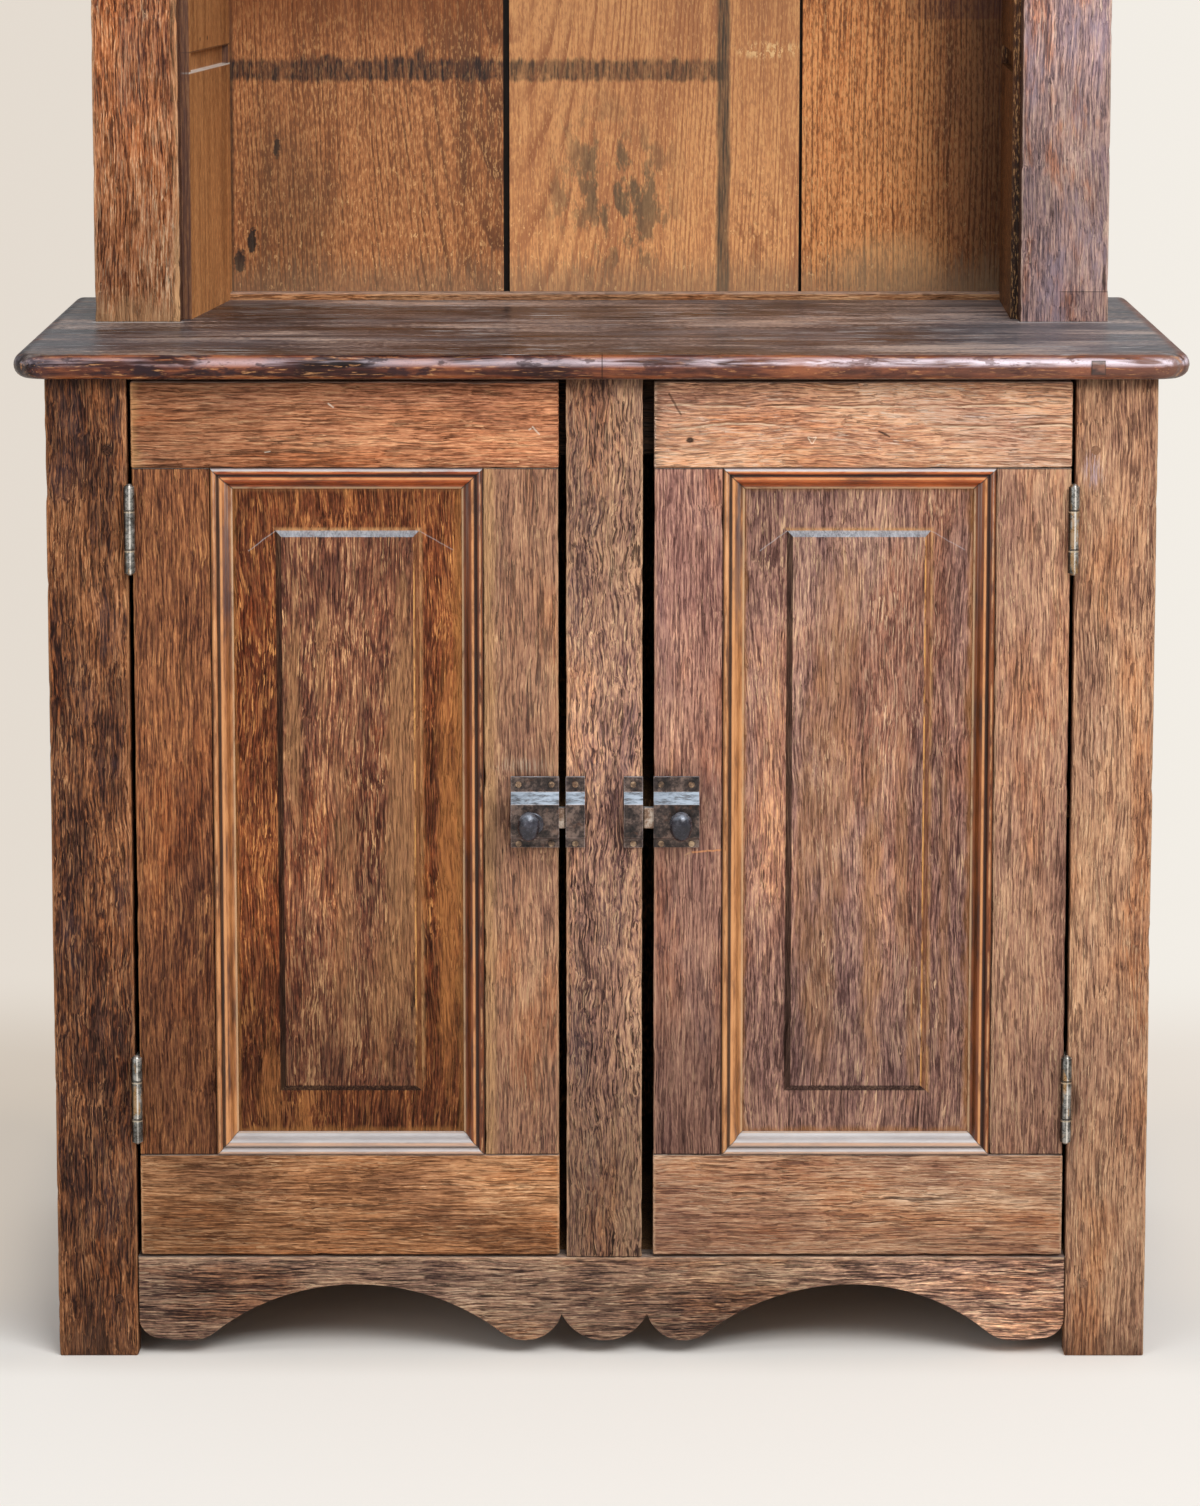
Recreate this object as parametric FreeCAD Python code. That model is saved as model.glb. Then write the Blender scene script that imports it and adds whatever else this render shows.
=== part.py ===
import FreeCAD, Part
import math
import os

# A step back cupboard in millimetres: a base with two panelled doors under a projecting counter, and a
# shallower open hutch standing on the back of the counter. X runs to the right, Z up, and the front faces -Y.
# The pieces are laid out with Y = 0 on the front of the base's face frame; save() moves them to the row's
# origin, which is the middle of the footprint on the floor.

os.makedirs("parts", exist_ok=True)
Vector = FreeCAD.Vector
ALONG_X = Vector(1, 0, 0)
ALONG_Y = Vector(0, 1, 0)
ALONG_Z = Vector(0, 0, 1)

# ---- Driving dimensions: overall -----------------------------------------------------------------
base_width = 960.0
base_depth = 498.0
counter_height = 893.0
overall_height = 1898.0
upper_inset = 18.0
upper_setback = 260.0

# ---- Boards --------------------------------------------------------------------------------------
frame_thickness = 25.0
side_thickness = 20.0
shelf_thickness = 18.0
back_thickness = 18.0
stretcher_thickness = 20.0
arris = 1.5

# ---- Base face frame -----------------------------------------------------------------------------
outer_stile_width = 71.0
centre_stile_width = 67.0
centre_stile_offset = 2.5
apron_top = 90.0
apron_setback = 0.8
apron_tenon = 34.0
tenon_thickness = 9.0
centre_tenon_length = 22.0
centre_tenon_width = 40.0
stretcher_height = 70.0
back_stretcher_height = 40.0
peg_radius = 4.0
peg_length = 40.0
peg_inset = 17.0
upper_peg_height = 808.0
left_apron_peg_height = 52.0
right_apron_peg_height = 66.0

# ---- Apron outline, heights above the floor ------------------------------------------------------
lobe_bottom = 13.7
cusp_height = 37.5
arch_apex = 65.0
apron_end_height = 35.0
end_lobe_inset = 46.0
end_round_share = 0.892
arch_centre_share = 0.5355
inner_lobe_offset = 70.0
cusp_offset = 37.7

# ---- Counter -------------------------------------------------------------------------------------
counter_thickness = 22.0
counter_overhang = 25.0
counter_end_overhang = 27.0
counter_corner_radius = 34.0
nosing_radius = 10.5
plug_size = 12.0
plug_depth = 14.0
plug_offset = 425.0

# ---- Base inside ---------------------------------------------------------------------------------
bottom_board_thickness = 20.0
housing_depth = 6.0
base_shelf_height = 470.0
base_shelf_setback = 45.0
cleat_height = 20.0
cleat_width = 20.0
base_back_foot = 60.0
lap_width = 8.0
lap_clearance = 0.3
base_board_gap = 1.5

# ---- Hutch ---------------------------------------------------------------------------------------
upper_left_stile_width = 79.0
upper_right_stile_width = 81.0
top_board_thickness = 18.0
top_rail_height = 90.0
top_rail_tenon = 30.0
lining_thickness = 20.0
left_lining_front_inset = 86.5
left_lining_back_inset = 109.0
right_lining_front_inset = 87.0
right_lining_back_inset = 82.0
shelf_housing_depth = 6.0
shelf_front_setback = 8.0
empty_housing_height = 225.0
empty_housing_stop = 6.0
lower_shelf_height = 470.0
upper_shelf_height = 715.0
left_back_joint_share = -0.101
left_back_gap = 5.9
right_back_joint_share = 0.2036
right_back_gap = 3.0
back_strip_depth = 10.0
back_strip_height = 7.5
back_strip_round = 4.5
cornice_height = 62.0
cornice_projection = 40.0
cornice_foot = 8.0
cornice_fillet = 8.0
cornice_bow = 4.7

# ---- Doors ---------------------------------------------------------------------------------------
door_thickness = 22.0
door_top_gap = 3.5
door_bottom_gap = 2.0
hinge_gap = 3.2
left_latch_gap = 6.0
right_latch_gap = 9.4
top_rail_width = 75.5
bottom_rail_width = 91.5
left_hinge_stile_width = 68.0
left_latch_stile_width = 65.5
right_hinge_stile_width = 65.0
right_latch_stile_width = 60.0
door_tenon_length = 30.0
door_tenon_thickness = 8.0
door_tenon_shoulder = 10.0
panel_thickness = 8.0
panel_plane = 10.0
groove_depth = 8.0
panel_play = 0.6
field_margin = 37.0
field_rise = 3.6
field_bevel = 5.0

# ---- Door moulding: distances from its outer edge, and heights towards the front -----------------
moulding_width = 18.5
moulding_proud = 2.6
bead_width = 5.0
bead_seat = 0.4
quirk_width = 1.6
quirk_depth = 2.0
edge_width = 1.8
edge_depth = 0.4
moulding_foot = 1.5
ogee_bow = 1.3

# ---- Butt hinges ---------------------------------------------------------------------------------
hinge_length = 75.0
upper_hinge_centre = 739.5
lower_hinge_centre = 234.5
barrel_radius = 4.75
barrel_proud = 5.6
middle_knuckle = 34.0
knuckle_gap = 0.3
leaf_thickness = 1.4
leaf_depth = 20.5
leaf_clearance = 0.4
pin_radius = 2.25
pin_clearance = 0.05
pin_head_radius = 3.9
pin_head_height = 2.4
leaf_screw_head = 3.0
leaf_screw_shank = 1.7
leaf_screw_length = 16.0
leaf_screw_spacing = 24.0
leaf_screw_depth = 13.0

# ---- Turn latches --------------------------------------------------------------------------------
latch_height = 490.75
latch_plate_height = 62.5
latch_plate_thickness = 2.5
latch_projection = 12.5
box_top = 8.5
box_bottom = -21.0
upper_slope = 9.4
lower_slope = 3.5
left_case_width = 41.8
right_case_width = 39.6
keeper_width = 16.5
case_wall = 2.7
case_end_wall = 2.0
bolt_height = 18.2
bolt_centre = -4.2
bolt_thickness = 7.7
bolt_back = 0.3
bolt_reach = 31.0
bolt_clearance = 0.3
bolt_tip_gap = 0.3
bolt_tip_chamfer = 1.2
left_knob_inset = 23.2
right_knob_inset = 23.6
left_knob_lean = 3.0
right_knob_lean = 0.0
knob_centre = -8.3
spindle_radius = 3.5
spindle_clearance = 0.05
crank_radius = 7.0
crank_pin_radius = 1.5
crank_slot_play = 0.7
crank_thickness = 1.2
collar_radius = 10.0
collar_thickness = 2.4
collar_gap = 0.2
neck_radius = 5.2
knob_projection = 21.3
knob_half_width = 9.7
knob_half_height = 13.1
knob_half_depth = 8.4
screw_head_radius = 2.6
screw_head_height = 0.9
screw_shank_radius = 1.4
screw_length = 14.0
screw_slot_width = 0.8
screw_slot_depth = 0.5
upper_screw_rise = 24.5
lower_screw_drop = 28.0
case_screw_inset = 6.6

# ---- Derived positions ---------------------------------------------------------------------------
half_base = base_width / 2
upper_width = base_width - 2 * upper_inset
half_upper = upper_width / 2
counter_underside = counter_height - counter_thickness
stile_left = -half_base + outer_stile_width
stile_right = half_base - outer_stile_width
centre_left = centre_stile_offset - centre_stile_width / 2
centre_right = centre_stile_offset + centre_stile_width / 2
inside_left = -half_base + side_thickness
inside_right = half_base - side_thickness
back_face = base_depth - back_thickness
upper_front = upper_setback
upper_behind_stile = upper_front + frame_thickness
upper_top = overall_height - top_board_thickness
upper_left_edge = -half_upper + upper_left_stile_width
upper_right_edge = half_upper - upper_right_stile_width
left_lining_front = -half_upper + left_lining_front_inset
left_lining_back = -half_upper + left_lining_back_inset
right_lining_front = half_upper - right_lining_front_inset
right_lining_back = half_upper - right_lining_back_inset
left_back_joint = upper_width * left_back_joint_share
right_back_joint = upper_width * right_back_joint_share
arch_centre_offset = stile_right * arch_centre_share
door_low = apron_top + door_bottom_gap
door_high = counter_underside - door_top_gap
hinge_axis_y = -barrel_proud
knob_nose = -(latch_projection + knob_projection)
middle_y = (knob_nose + base_depth) / 2
tenon_front = (frame_thickness - tenon_thickness) / 2
tenon_back = tenon_front + tenon_thickness


# ---- Shape helpers -------------------------------------------------------------------------------
def block(x, y, z):
    """A box between two values on each axis, given in either order."""
    low = Vector(min(x), min(y), min(z))
    return Part.makeBox(max(x) - low.x, max(y) - low.y, max(z) - low.z, low)


def prism(points, direction):
    """A solid with a polygon section, carried along a direction."""
    return Part.Face(Part.makePolygon(points + points[:1])).extrude(direction)


def plan_prism(points, low, high):
    """A solid with a polygon plan between two heights."""
    corners = [Vector(x, y, low) for x, y in points]
    return prism(corners, Vector(0, 0, high - low))


def rod(centre, direction, radius, length):
    return Part.makeCylinder(radius, length, centre, direction)


def cut(shape, tools):
    for tool in tools:
        shape = shape.cut(tool)
    return shape


def fuse(shape, others):
    for other in others:
        shape = shape.fuse(other)
    return shape.removeSplitter()


def edges_along(shape, direction, keep=None):
    """The straight edges that run along a direction, and pass the test if there is one."""
    found = []
    for edge in shape.Edges:
        ends = [vertex.Point for vertex in edge.Vertexes]
        if len(ends) != 2 or not isinstance(edge.Curve, Part.Line):
            continue
        run = (ends[1] - ends[0]).normalize()
        middle = (ends[0] + ends[1]) * 0.5
        if abs(run.dot(direction)) > 0.999 and (keep is None or keep(middle)):
            found.append(edge)
    return found


def eased(shape, direction, radius=arris, keep=None):
    """The same solid with its long arrises rounded over."""
    return shape.makeFillet(radius, edges_along(shape, direction, keep))


def save(name, solids):
    """Writes one node, from one solid or a group of separate ones, moved to the row's origin."""
    group = Part.makeCompound(solids) if isinstance(solids, list) else solids
    group = group.copy()
    group.translate(Vector(0, -middle_y, 0))
    group.exportStep("parts/" + name + ".step")


# ---- Pegs through the face frame joints ----------------------------------------------------------
def peg(x, y, z, length):
    return rod(Vector(x, y, z), ALONG_Y, peg_radius, length)


base_pegs = [
    peg(stile_left - peg_inset, 0, upper_peg_height, peg_length),
    peg(stile_right + peg_inset, 0, upper_peg_height, peg_length),
    peg(stile_left - peg_inset, 0, left_apron_peg_height, frame_thickness),
    peg(stile_right + peg_inset, 0, right_apron_peg_height, frame_thickness),
]
top_rail_middle = upper_top - top_rail_height / 2
hutch_pegs = [
    peg(upper_left_edge - peg_inset, upper_front, top_rail_middle, frame_thickness),
    peg(upper_right_edge + peg_inset, upper_front, top_rail_middle, frame_thickness),
]


# ---- Butt hinges ---------------------------------------------------------------------------------
def hinge_parts(frame_edge, outward, centre):
    """One hinge: frame leaf, door leaf, pin and the two leaves' screws.

    outward is -1 where the frame lies to the left of the door and +1 where it lies to the right."""
    axis_x = frame_edge - outward * hinge_gap / 2
    door_edge = frame_edge - outward * hinge_gap
    low = centre - hinge_length / 2
    high = centre + hinge_length / 2
    middle_low = centre - middle_knuckle / 2
    middle_high = centre + middle_knuckle / 2
    clear_y = hinge_axis_y + barrel_radius + leaf_clearance
    rooted_y = hinge_axis_y + (pin_radius + barrel_radius) / 2
    leaf_back = clear_y + leaf_depth
    bore = rod(Vector(axis_x, hinge_axis_y, low), ALONG_Z, pin_radius + pin_clearance, hinge_length)

    def leaf(edge, into, knuckles):
        face = edge + into * leaf_thickness
        plate = block((edge, face), (clear_y, leaf_back), (low, high))
        pieces = []
        for bottom, top in knuckles:
            pieces.append(rod(Vector(axis_x, hinge_axis_y, bottom), ALONG_Z, barrel_radius, top - bottom))
            pieces.append(block((edge, face), (rooted_y, clear_y), (bottom, top)))
        return fuse(plate, pieces).cut(bore)

    def leaf_screws(edge, into):
        """Countersunk screws: the head fills the leaf's thickness and the shank goes into the wood."""
        screws = []
        for step in (-1, 0, 1):
            seat = Vector(edge + into * leaf_thickness, leaf_screw_depth, centre + step * leaf_screw_spacing)
            inward = Vector(-into, 0, 0)
            head = Part.makeCone(leaf_screw_head, leaf_screw_shank, leaf_thickness, seat, inward)
            screws.append(head.fuse(rod(seat, inward, leaf_screw_shank, leaf_screw_length)).removeSplitter())
        return screws

    outer = [(low, middle_low - knuckle_gap), (middle_high + knuckle_gap, high)]
    frame_screws = leaf_screws(frame_edge, -outward)
    door_screws = leaf_screws(door_edge, outward)
    frame_leaf = cut(leaf(frame_edge, -outward, outer), frame_screws)
    door_leaf = cut(leaf(door_edge, outward, [(middle_low, middle_high)]), door_screws)
    pin = rod(Vector(axis_x, hinge_axis_y, low), ALONG_Z, pin_radius, hinge_length)
    ball_radius = (pin_head_radius**2 + pin_head_height**2) / (2 * pin_head_height)
    dome = Part.makeSphere(ball_radius, Vector(axis_x, hinge_axis_y, high + pin_head_height - ball_radius))
    dome = dome.common(rod(Vector(axis_x, hinge_axis_y, high), ALONG_Z, pin_head_radius, pin_head_height))
    foot = dome.mirror(Vector(0, 0, centre), ALONG_Z)
    return frame_leaf, door_leaf, fuse(pin, [dome, foot]), frame_screws, door_screws


frame_leaves = []
frame_leaf_screws = []
hinge_pins = []
door_leaves = {"left": [], "right": []}
door_leaf_screws = {"left": [], "right": []}
for side, frame_edge, outward in (("left", stile_left, -1), ("right", stile_right, 1)):
    for centre in (upper_hinge_centre, lower_hinge_centre):
        frame_leaf, door_leaf, pin, frame_screws, door_screws = hinge_parts(frame_edge, outward, centre)
        frame_leaves.append(frame_leaf)
        door_leaves[side].append(door_leaf)
        hinge_pins.append(pin)
        frame_leaf_screws += frame_screws
        door_leaf_screws[side] += door_screws


# ---- Turn latches --------------------------------------------------------------------------------
def latch_section(start, run):
    """The case's and the keeper's section: two screw flanges with a raised box between, carried along X."""
    top = latch_height + latch_plate_height / 2
    bottom = latch_height - latch_plate_height / 2
    outline = [
        (0, bottom),
        (-latch_plate_thickness, bottom),
        (-latch_plate_thickness, latch_height + box_bottom - lower_slope),
        (-latch_projection, latch_height + box_bottom),
        (-latch_projection, latch_height + box_top),
        (-latch_plate_thickness, latch_height + box_top + upper_slope),
        (-latch_plate_thickness, top),
        (0, top),
    ]
    return prism([Vector(start, y, z) for y, z in outline], Vector(run, 0, 0))


def face_screw(x, z):
    """A slotted round-head screw that holds an iron plate to the wood."""
    seat = Vector(x, -latch_plate_thickness, z)
    head = rod(seat, Vector(0, -1, 0), screw_head_radius, screw_head_height)
    front = -latch_plate_thickness - screw_head_height
    slot = block(
        (x - screw_head_radius, x + screw_head_radius),
        (front, front + screw_slot_depth),
        (z - screw_slot_width / 2, z + screw_slot_width / 2),
    )
    return head.fuse(rod(seat, ALONG_Y, screw_shank_radius, screw_length)).removeSplitter().cut(slot)


def latch_parts(door_edge, toward, gap, case_width, knob_inset, knob_lean):
    """A latch on a door's free edge and its keeper across the gap. toward is the way the bolt throws.

    knob_lean is how far the knob's grip is bent away from that, off its spindle."""

    def at(distance):
        return door_edge + toward * distance

    bolt_low = latch_height + bolt_centre - bolt_height / 2
    bolt_high = bolt_low + bolt_height
    bolt_front = -bolt_back - bolt_thickness
    channel = (bolt_front - bolt_clearance, 0)
    slide = (bolt_low - bolt_clearance, bolt_high + bolt_clearance)
    spindle_x = at(-knob_inset)
    spindle_z = latch_height + knob_centre
    crank_back = bolt_front - bolt_clearance
    cavity_front = -latch_projection + case_wall

    case = latch_section(at(-case_width), toward * case_width)
    room = block(
        (at(-case_width + case_end_wall), at(-case_end_wall)),
        (cavity_front, 0),
        (latch_height + box_bottom + case_end_wall, bolt_high + bolt_clearance),
    )
    mouth = block((at(-case_end_wall), at(0)), channel, slide)
    bore_radius = spindle_radius + spindle_clearance
    bore = rod(Vector(spindle_x, -latch_projection, spindle_z), ALONG_Y, bore_radius, case_wall)
    case_screws = [
        face_screw(at(-inset), latch_height + rise)
        for inset in (case_screw_inset, case_width - case_screw_inset)
        for rise in (upper_screw_rise, -lower_screw_drop)
    ]
    case = cut(case, [room, mouth, bore] + case_screws)

    bolt = block((at(-bolt_reach), at(gap - bolt_tip_gap)), (bolt_front, -bolt_back), (bolt_low, bolt_high))
    tip_edges = edges_along(bolt, ALONG_Z, lambda p: abs(p.x - at(gap - bolt_tip_gap)) < bolt_tip_gap)
    bolt = bolt.makeChamfer(bolt_tip_chamfer, tip_edges)
    slot_half = crank_pin_radius + crank_slot_play
    slot = block(
        (spindle_x - slot_half, spindle_x + slot_half),
        (bolt_front, -bolt_back),
        (
            spindle_z + crank_radius * math.cos(math.pi / 4) - slot_half,
            spindle_z + crank_radius + slot_half,
        ),
    )
    bolt = bolt.cut(slot)

    knob_front = -latch_projection - collar_gap
    spindle = rod(Vector(spindle_x, knob_front, spindle_z), ALONG_Y, spindle_radius, crank_back - knob_front)
    crank = block(
        (spindle_x - spindle_radius, spindle_x + spindle_radius),
        (crank_back - crank_thickness, crank_back),
        (spindle_z, spindle_z + crank_radius + crank_pin_radius),
    )
    crank_hub = rod(
        Vector(spindle_x, crank_back - crank_thickness, spindle_z), ALONG_Y, spindle_radius, crank_thickness
    )
    crank_pin = rod(
        Vector(spindle_x, crank_back - crank_thickness, spindle_z + crank_radius),
        ALONG_Y,
        crank_pin_radius,
        crank_thickness + bolt_clearance + bolt_thickness / 2,
    )
    collar = rod(Vector(spindle_x, knob_front, spindle_z), Vector(0, -1, 0), collar_radius, collar_thickness)
    collar = collar.makeFillet(
        collar_thickness / 2, [e for e in collar.Edges if e.BoundBox.YMax < knob_front - collar_thickness / 2]
    )
    grip_centre = Vector(spindle_x - toward * knob_lean, knob_nose + knob_half_depth, spindle_z)
    neck_end = Vector(spindle_x, knob_front - collar_thickness / 2, spindle_z)
    neck = rod(grip_centre, neck_end - grip_centre, neck_radius, (neck_end - grip_centre).Length)
    stretch = FreeCAD.Matrix()
    stretch.scale(knob_half_width, knob_half_depth, knob_half_height)
    grip = Part.makeSphere(1.0).transformGeometry(stretch)
    grip.translate(grip_centre)
    knob = fuse(grip, [neck, collar, spindle, crank_hub, crank, crank_pin])

    keeper_start = at(gap)
    keeper = latch_section(keeper_start, toward * keeper_width)
    pocket = block((keeper_start, keeper_start + toward * (keeper_width - case_end_wall)), channel, slide)
    keeper_screws = [
        face_screw(keeper_start + toward * keeper_width / 2, latch_height + rise)
        for rise in (upper_screw_rise, -lower_screw_drop)
    ]
    keeper = cut(keeper, [pocket] + keeper_screws)
    return case, bolt, knob, case_screws, keeper, keeper_screws


left_door_edges = (stile_left + hinge_gap, centre_left - left_latch_gap)
right_door_edges = (stile_right - hinge_gap, centre_right + right_latch_gap)
latches = {
    "left": latch_parts(
        left_door_edges[1], 1, left_latch_gap, left_case_width, left_knob_inset, left_knob_lean
    ),
    "right": latch_parts(
        right_door_edges[1], -1, right_latch_gap, right_case_width, right_knob_inset, right_knob_lean
    ),
}
keepers = [latches[side][4] for side in latches]
keeper_screws = latches["left"][5] + latches["right"][5]


# ---- Doors ---------------------------------------------------------------------------------------
def moulding_profile():
    """The moulding's section as (distance from its outer edge, Y): a bead, a quirk, an edge and an ogee."""
    bead_end = bead_seat + bead_width
    quirk_end = bead_end + quirk_width
    edge_end = quirk_end + edge_width
    foot_y = panel_plane - moulding_foot
    ogee_middle = ((edge_end + moulding_width) / 2, (edge_depth + foot_y) / 2)
    run = Vector(moulding_width - edge_end, foot_y - edge_depth, 0)
    bow = Vector(run.y, -run.x, 0).normalize() * ogee_bow

    def point(distance, y):
        return Vector(distance, y, 0)

    def between(a, b, share, side):
        return a + (b - a) * share + bow * side

    middle = point(*ogee_middle)
    ogee_start = point(edge_end, edge_depth)
    ogee_foot = point(moulding_width, foot_y)
    bead_arc = Part.Arc(
        point(bead_seat, 0), point(bead_seat + bead_width / 2, -moulding_proud), point(bead_end, 0)
    )
    return [
        Part.LineSegment(point(0, panel_plane), point(0, 0)),
        Part.LineSegment(point(0, 0), point(bead_seat, 0)),
        bead_arc,
        Part.LineSegment(point(bead_end, 0), point(bead_end, quirk_depth)),
        Part.LineSegment(point(bead_end, quirk_depth), point(quirk_end, quirk_depth)),
        Part.LineSegment(point(quirk_end, quirk_depth), point(quirk_end, edge_depth)),
        Part.LineSegment(point(quirk_end, edge_depth), ogee_start),
        Part.Arc(ogee_start, between(ogee_start, middle, 0.5, 1), middle),
        Part.Arc(middle, between(middle, ogee_foot, 0.5, -1), ogee_foot),
        Part.LineSegment(ogee_foot, point(moulding_width, panel_plane)),
        Part.LineSegment(point(moulding_width, panel_plane), point(0, panel_plane)),
    ]


def mitred_frame(low, high):
    """Four lengths of moulding, mitred where they meet, lining an opening from its low to its high corner."""
    width = high[0] - low[0]
    height = high[1] - low[1]
    centre = Vector((low[0] + high[0]) / 2, 0, (low[1] + high[1]) / 2)
    section = Part.Face(Part.Wire([part.toShape() for part in moulding_profile()]))
    pieces = []
    sides = [(0, width, height), (90, height, width), (180, width, height), (270, height, width)]
    for turn, across, along in sides:
        bar = section.extrude(Vector(0, 0, along))
        bar.translate(Vector(-across / 2, 0, -along / 2))
        mitre = [
            Vector(-across / 2, -moulding_proud, -along / 2),
            Vector(-across / 2 + moulding_width, -moulding_proud, -along / 2 + moulding_width),
            Vector(-across / 2 + moulding_width, -moulding_proud, along / 2 - moulding_width),
            Vector(-across / 2, -moulding_proud, along / 2),
        ]
        bar = bar.common(prism(mitre, Vector(0, moulding_proud + panel_plane, 0)))
        bar.rotate(Vector(0, 0, 0), ALONG_Y, turn)
        bar.translate(centre)
        pieces.append(bar)
    return pieces


def raised_panel(low, high):
    """A flat panel held in the frame's grooves, with a raised field that steps up by a small bevel."""
    spread = groove_depth - panel_play
    plate = block(
        (low[0] - spread, high[0] + spread),
        (panel_plane, panel_plane + panel_thickness),
        (low[1] - spread, high[1] + spread),
    )

    def outline(inset, y):
        x0 = low[0] + moulding_width + inset
        x1 = high[0] - moulding_width - inset
        z0 = low[1] + moulding_width + inset
        z1 = high[1] - moulding_width - inset
        corners = ((x0, z0), (x1, z0), (x1, z1), (x0, z1), (x0, z0))
        return Part.makePolygon([Vector(x, y, z) for x, z in corners])

    foot = outline(field_margin, panel_plane)
    crest = outline(field_margin + field_bevel, panel_plane - field_rise)
    return fuse(plate, [Part.makeLoft([foot, crest], True, True)])


def door_parts(side, edges, hinge_stile, latch_stile):
    """A door with rails across its full width, stiles tenoned between them, a panel and its moulding."""
    hinge_edge, latch_edge = edges
    inward = 1 if latch_edge > hinge_edge else -1
    hinge_inner = hinge_edge + inward * hinge_stile
    latch_inner = latch_edge - inward * latch_stile
    low = (min(hinge_inner, latch_inner), door_low + bottom_rail_width)
    high = (max(hinge_inner, latch_inner), door_high - top_rail_width)
    body = (0, door_thickness)
    tenon_y = (tenon_front, tenon_front + door_tenon_thickness)
    groove = block(
        (low[0] - groove_depth, high[0] + groove_depth),
        (panel_plane, panel_plane + panel_thickness),
        (low[1] - groove_depth, high[1] + groove_depth),
    )
    fixings = door_leaf_screws[side] + latches[side][3]

    def stile(outer, inner):
        shape = eased(block((outer, inner), body, (low[1], high[1])), ALONG_Z)
        shoulders = (min(outer, inner) + door_tenon_shoulder, max(outer, inner) - door_tenon_shoulder)
        tenon = block(shoulders, tenon_y, (low[1] - door_tenon_length, high[1] + door_tenon_length))
        return fuse(shape, [tenon]), tenon

    hinge_piece, hinge_tenon = stile(hinge_edge, hinge_inner)
    latch_piece, latch_tenon = stile(latch_edge, latch_inner)
    tenons = [hinge_tenon, latch_tenon]
    top = eased(block(edges, body, (high[1], door_high)), ALONG_X)
    bottom = eased(block(edges, body, (door_low, low[1])), ALONG_X)
    save(side + "_door_hinge_stile", cut(hinge_piece, [groove] + fixings))
    save(side + "_door_latch_stile", cut(latch_piece, [groove] + fixings))
    save(side + "_door_top_rail", cut(top, tenons + [groove]))
    save(side + "_door_bottom_rail", cut(bottom, tenons + [groove]))
    save(side + "_door_panel", raised_panel(low, high))
    save(side + "_door_moulding", mitred_frame(low, high))
    save(side + "_door_hinge_leaves", door_leaves[side])
    case, bolt, knob, case_screws, _, _ = latches[side]
    save(side + "_door_screws", fixings)
    save(side + "_latch_case", case)
    save(side + "_latch_bolt", bolt)
    save(side + "_latch_knob", knob)


door_parts("left", left_door_edges, left_hinge_stile_width, left_latch_stile_width)
door_parts("right", right_door_edges, right_hinge_stile_width, right_latch_stile_width)
save("hinge_frame_leaves", frame_leaves)
save("hinge_frame_screws", frame_leaf_screws)
save("hinge_pins", hinge_pins)
save("latch_keepers", keepers)
save("keeper_screws", keeper_screws)


# ---- Base face frame and carcass -----------------------------------------------------------------
def arc_on(centre, radius, start, end):
    """An arc in the apron's face plane about a centre (x, z), between two angles in radians."""
    points = [
        Vector(centre[0] + radius * math.cos(angle), apron_setback, centre[1] + radius * math.sin(angle))
        for angle in (start, (start + end) / 2, end)
    ]
    return Part.Arc(*points)


def half_arch(apex_x, lobe_x, lobe_radius):
    """Half an arch: a broad arc from the apex that runs smoothly into a lobe's round, down to its bottom."""
    across = lobe_x - apex_x
    drop = arch_apex - lobe_bottom
    both_radii = (across**2 + drop**2) / (2 * drop)
    arch_radius = both_radii - lobe_radius
    arch_centre = (apex_x, arch_apex - arch_radius)
    lobe_centre = (lobe_x, lobe_bottom + lobe_radius)
    meeting = math.atan2(lobe_centre[1] - arch_centre[1], across)
    return [
        arc_on(arch_centre, arch_radius, math.pi / 2, meeting),
        arc_on(lobe_centre, lobe_radius, meeting + math.pi, 1.5 * math.pi),
    ]


def end_lobe(edge_x, bottom_x):
    """The lobe beside an outer stile: a small round at the stile, then a flat curve to its bottom."""
    toward = 1 if bottom_x > edge_x else -1
    rise = apron_end_height - lobe_bottom
    end_round = rise * end_round_share
    across = abs(bottom_x - edge_x) - end_round
    flat_radius = (across**2 + rise**2 - end_round**2) / (2 * (rise - end_round))
    small_centre = (edge_x + toward * end_round, apron_end_height)
    flat_centre = (bottom_x, lobe_bottom + flat_radius)
    meeting = math.atan2(small_centre[1] - flat_centre[1], small_centre[0] - flat_centre[0]) % (2 * math.pi)
    side_angle = math.pi if toward > 0 else 2 * math.pi
    return [
        arc_on(small_centre, end_round, side_angle, meeting),
        arc_on(flat_centre, flat_radius, meeting, 1.5 * math.pi),
    ]


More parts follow.
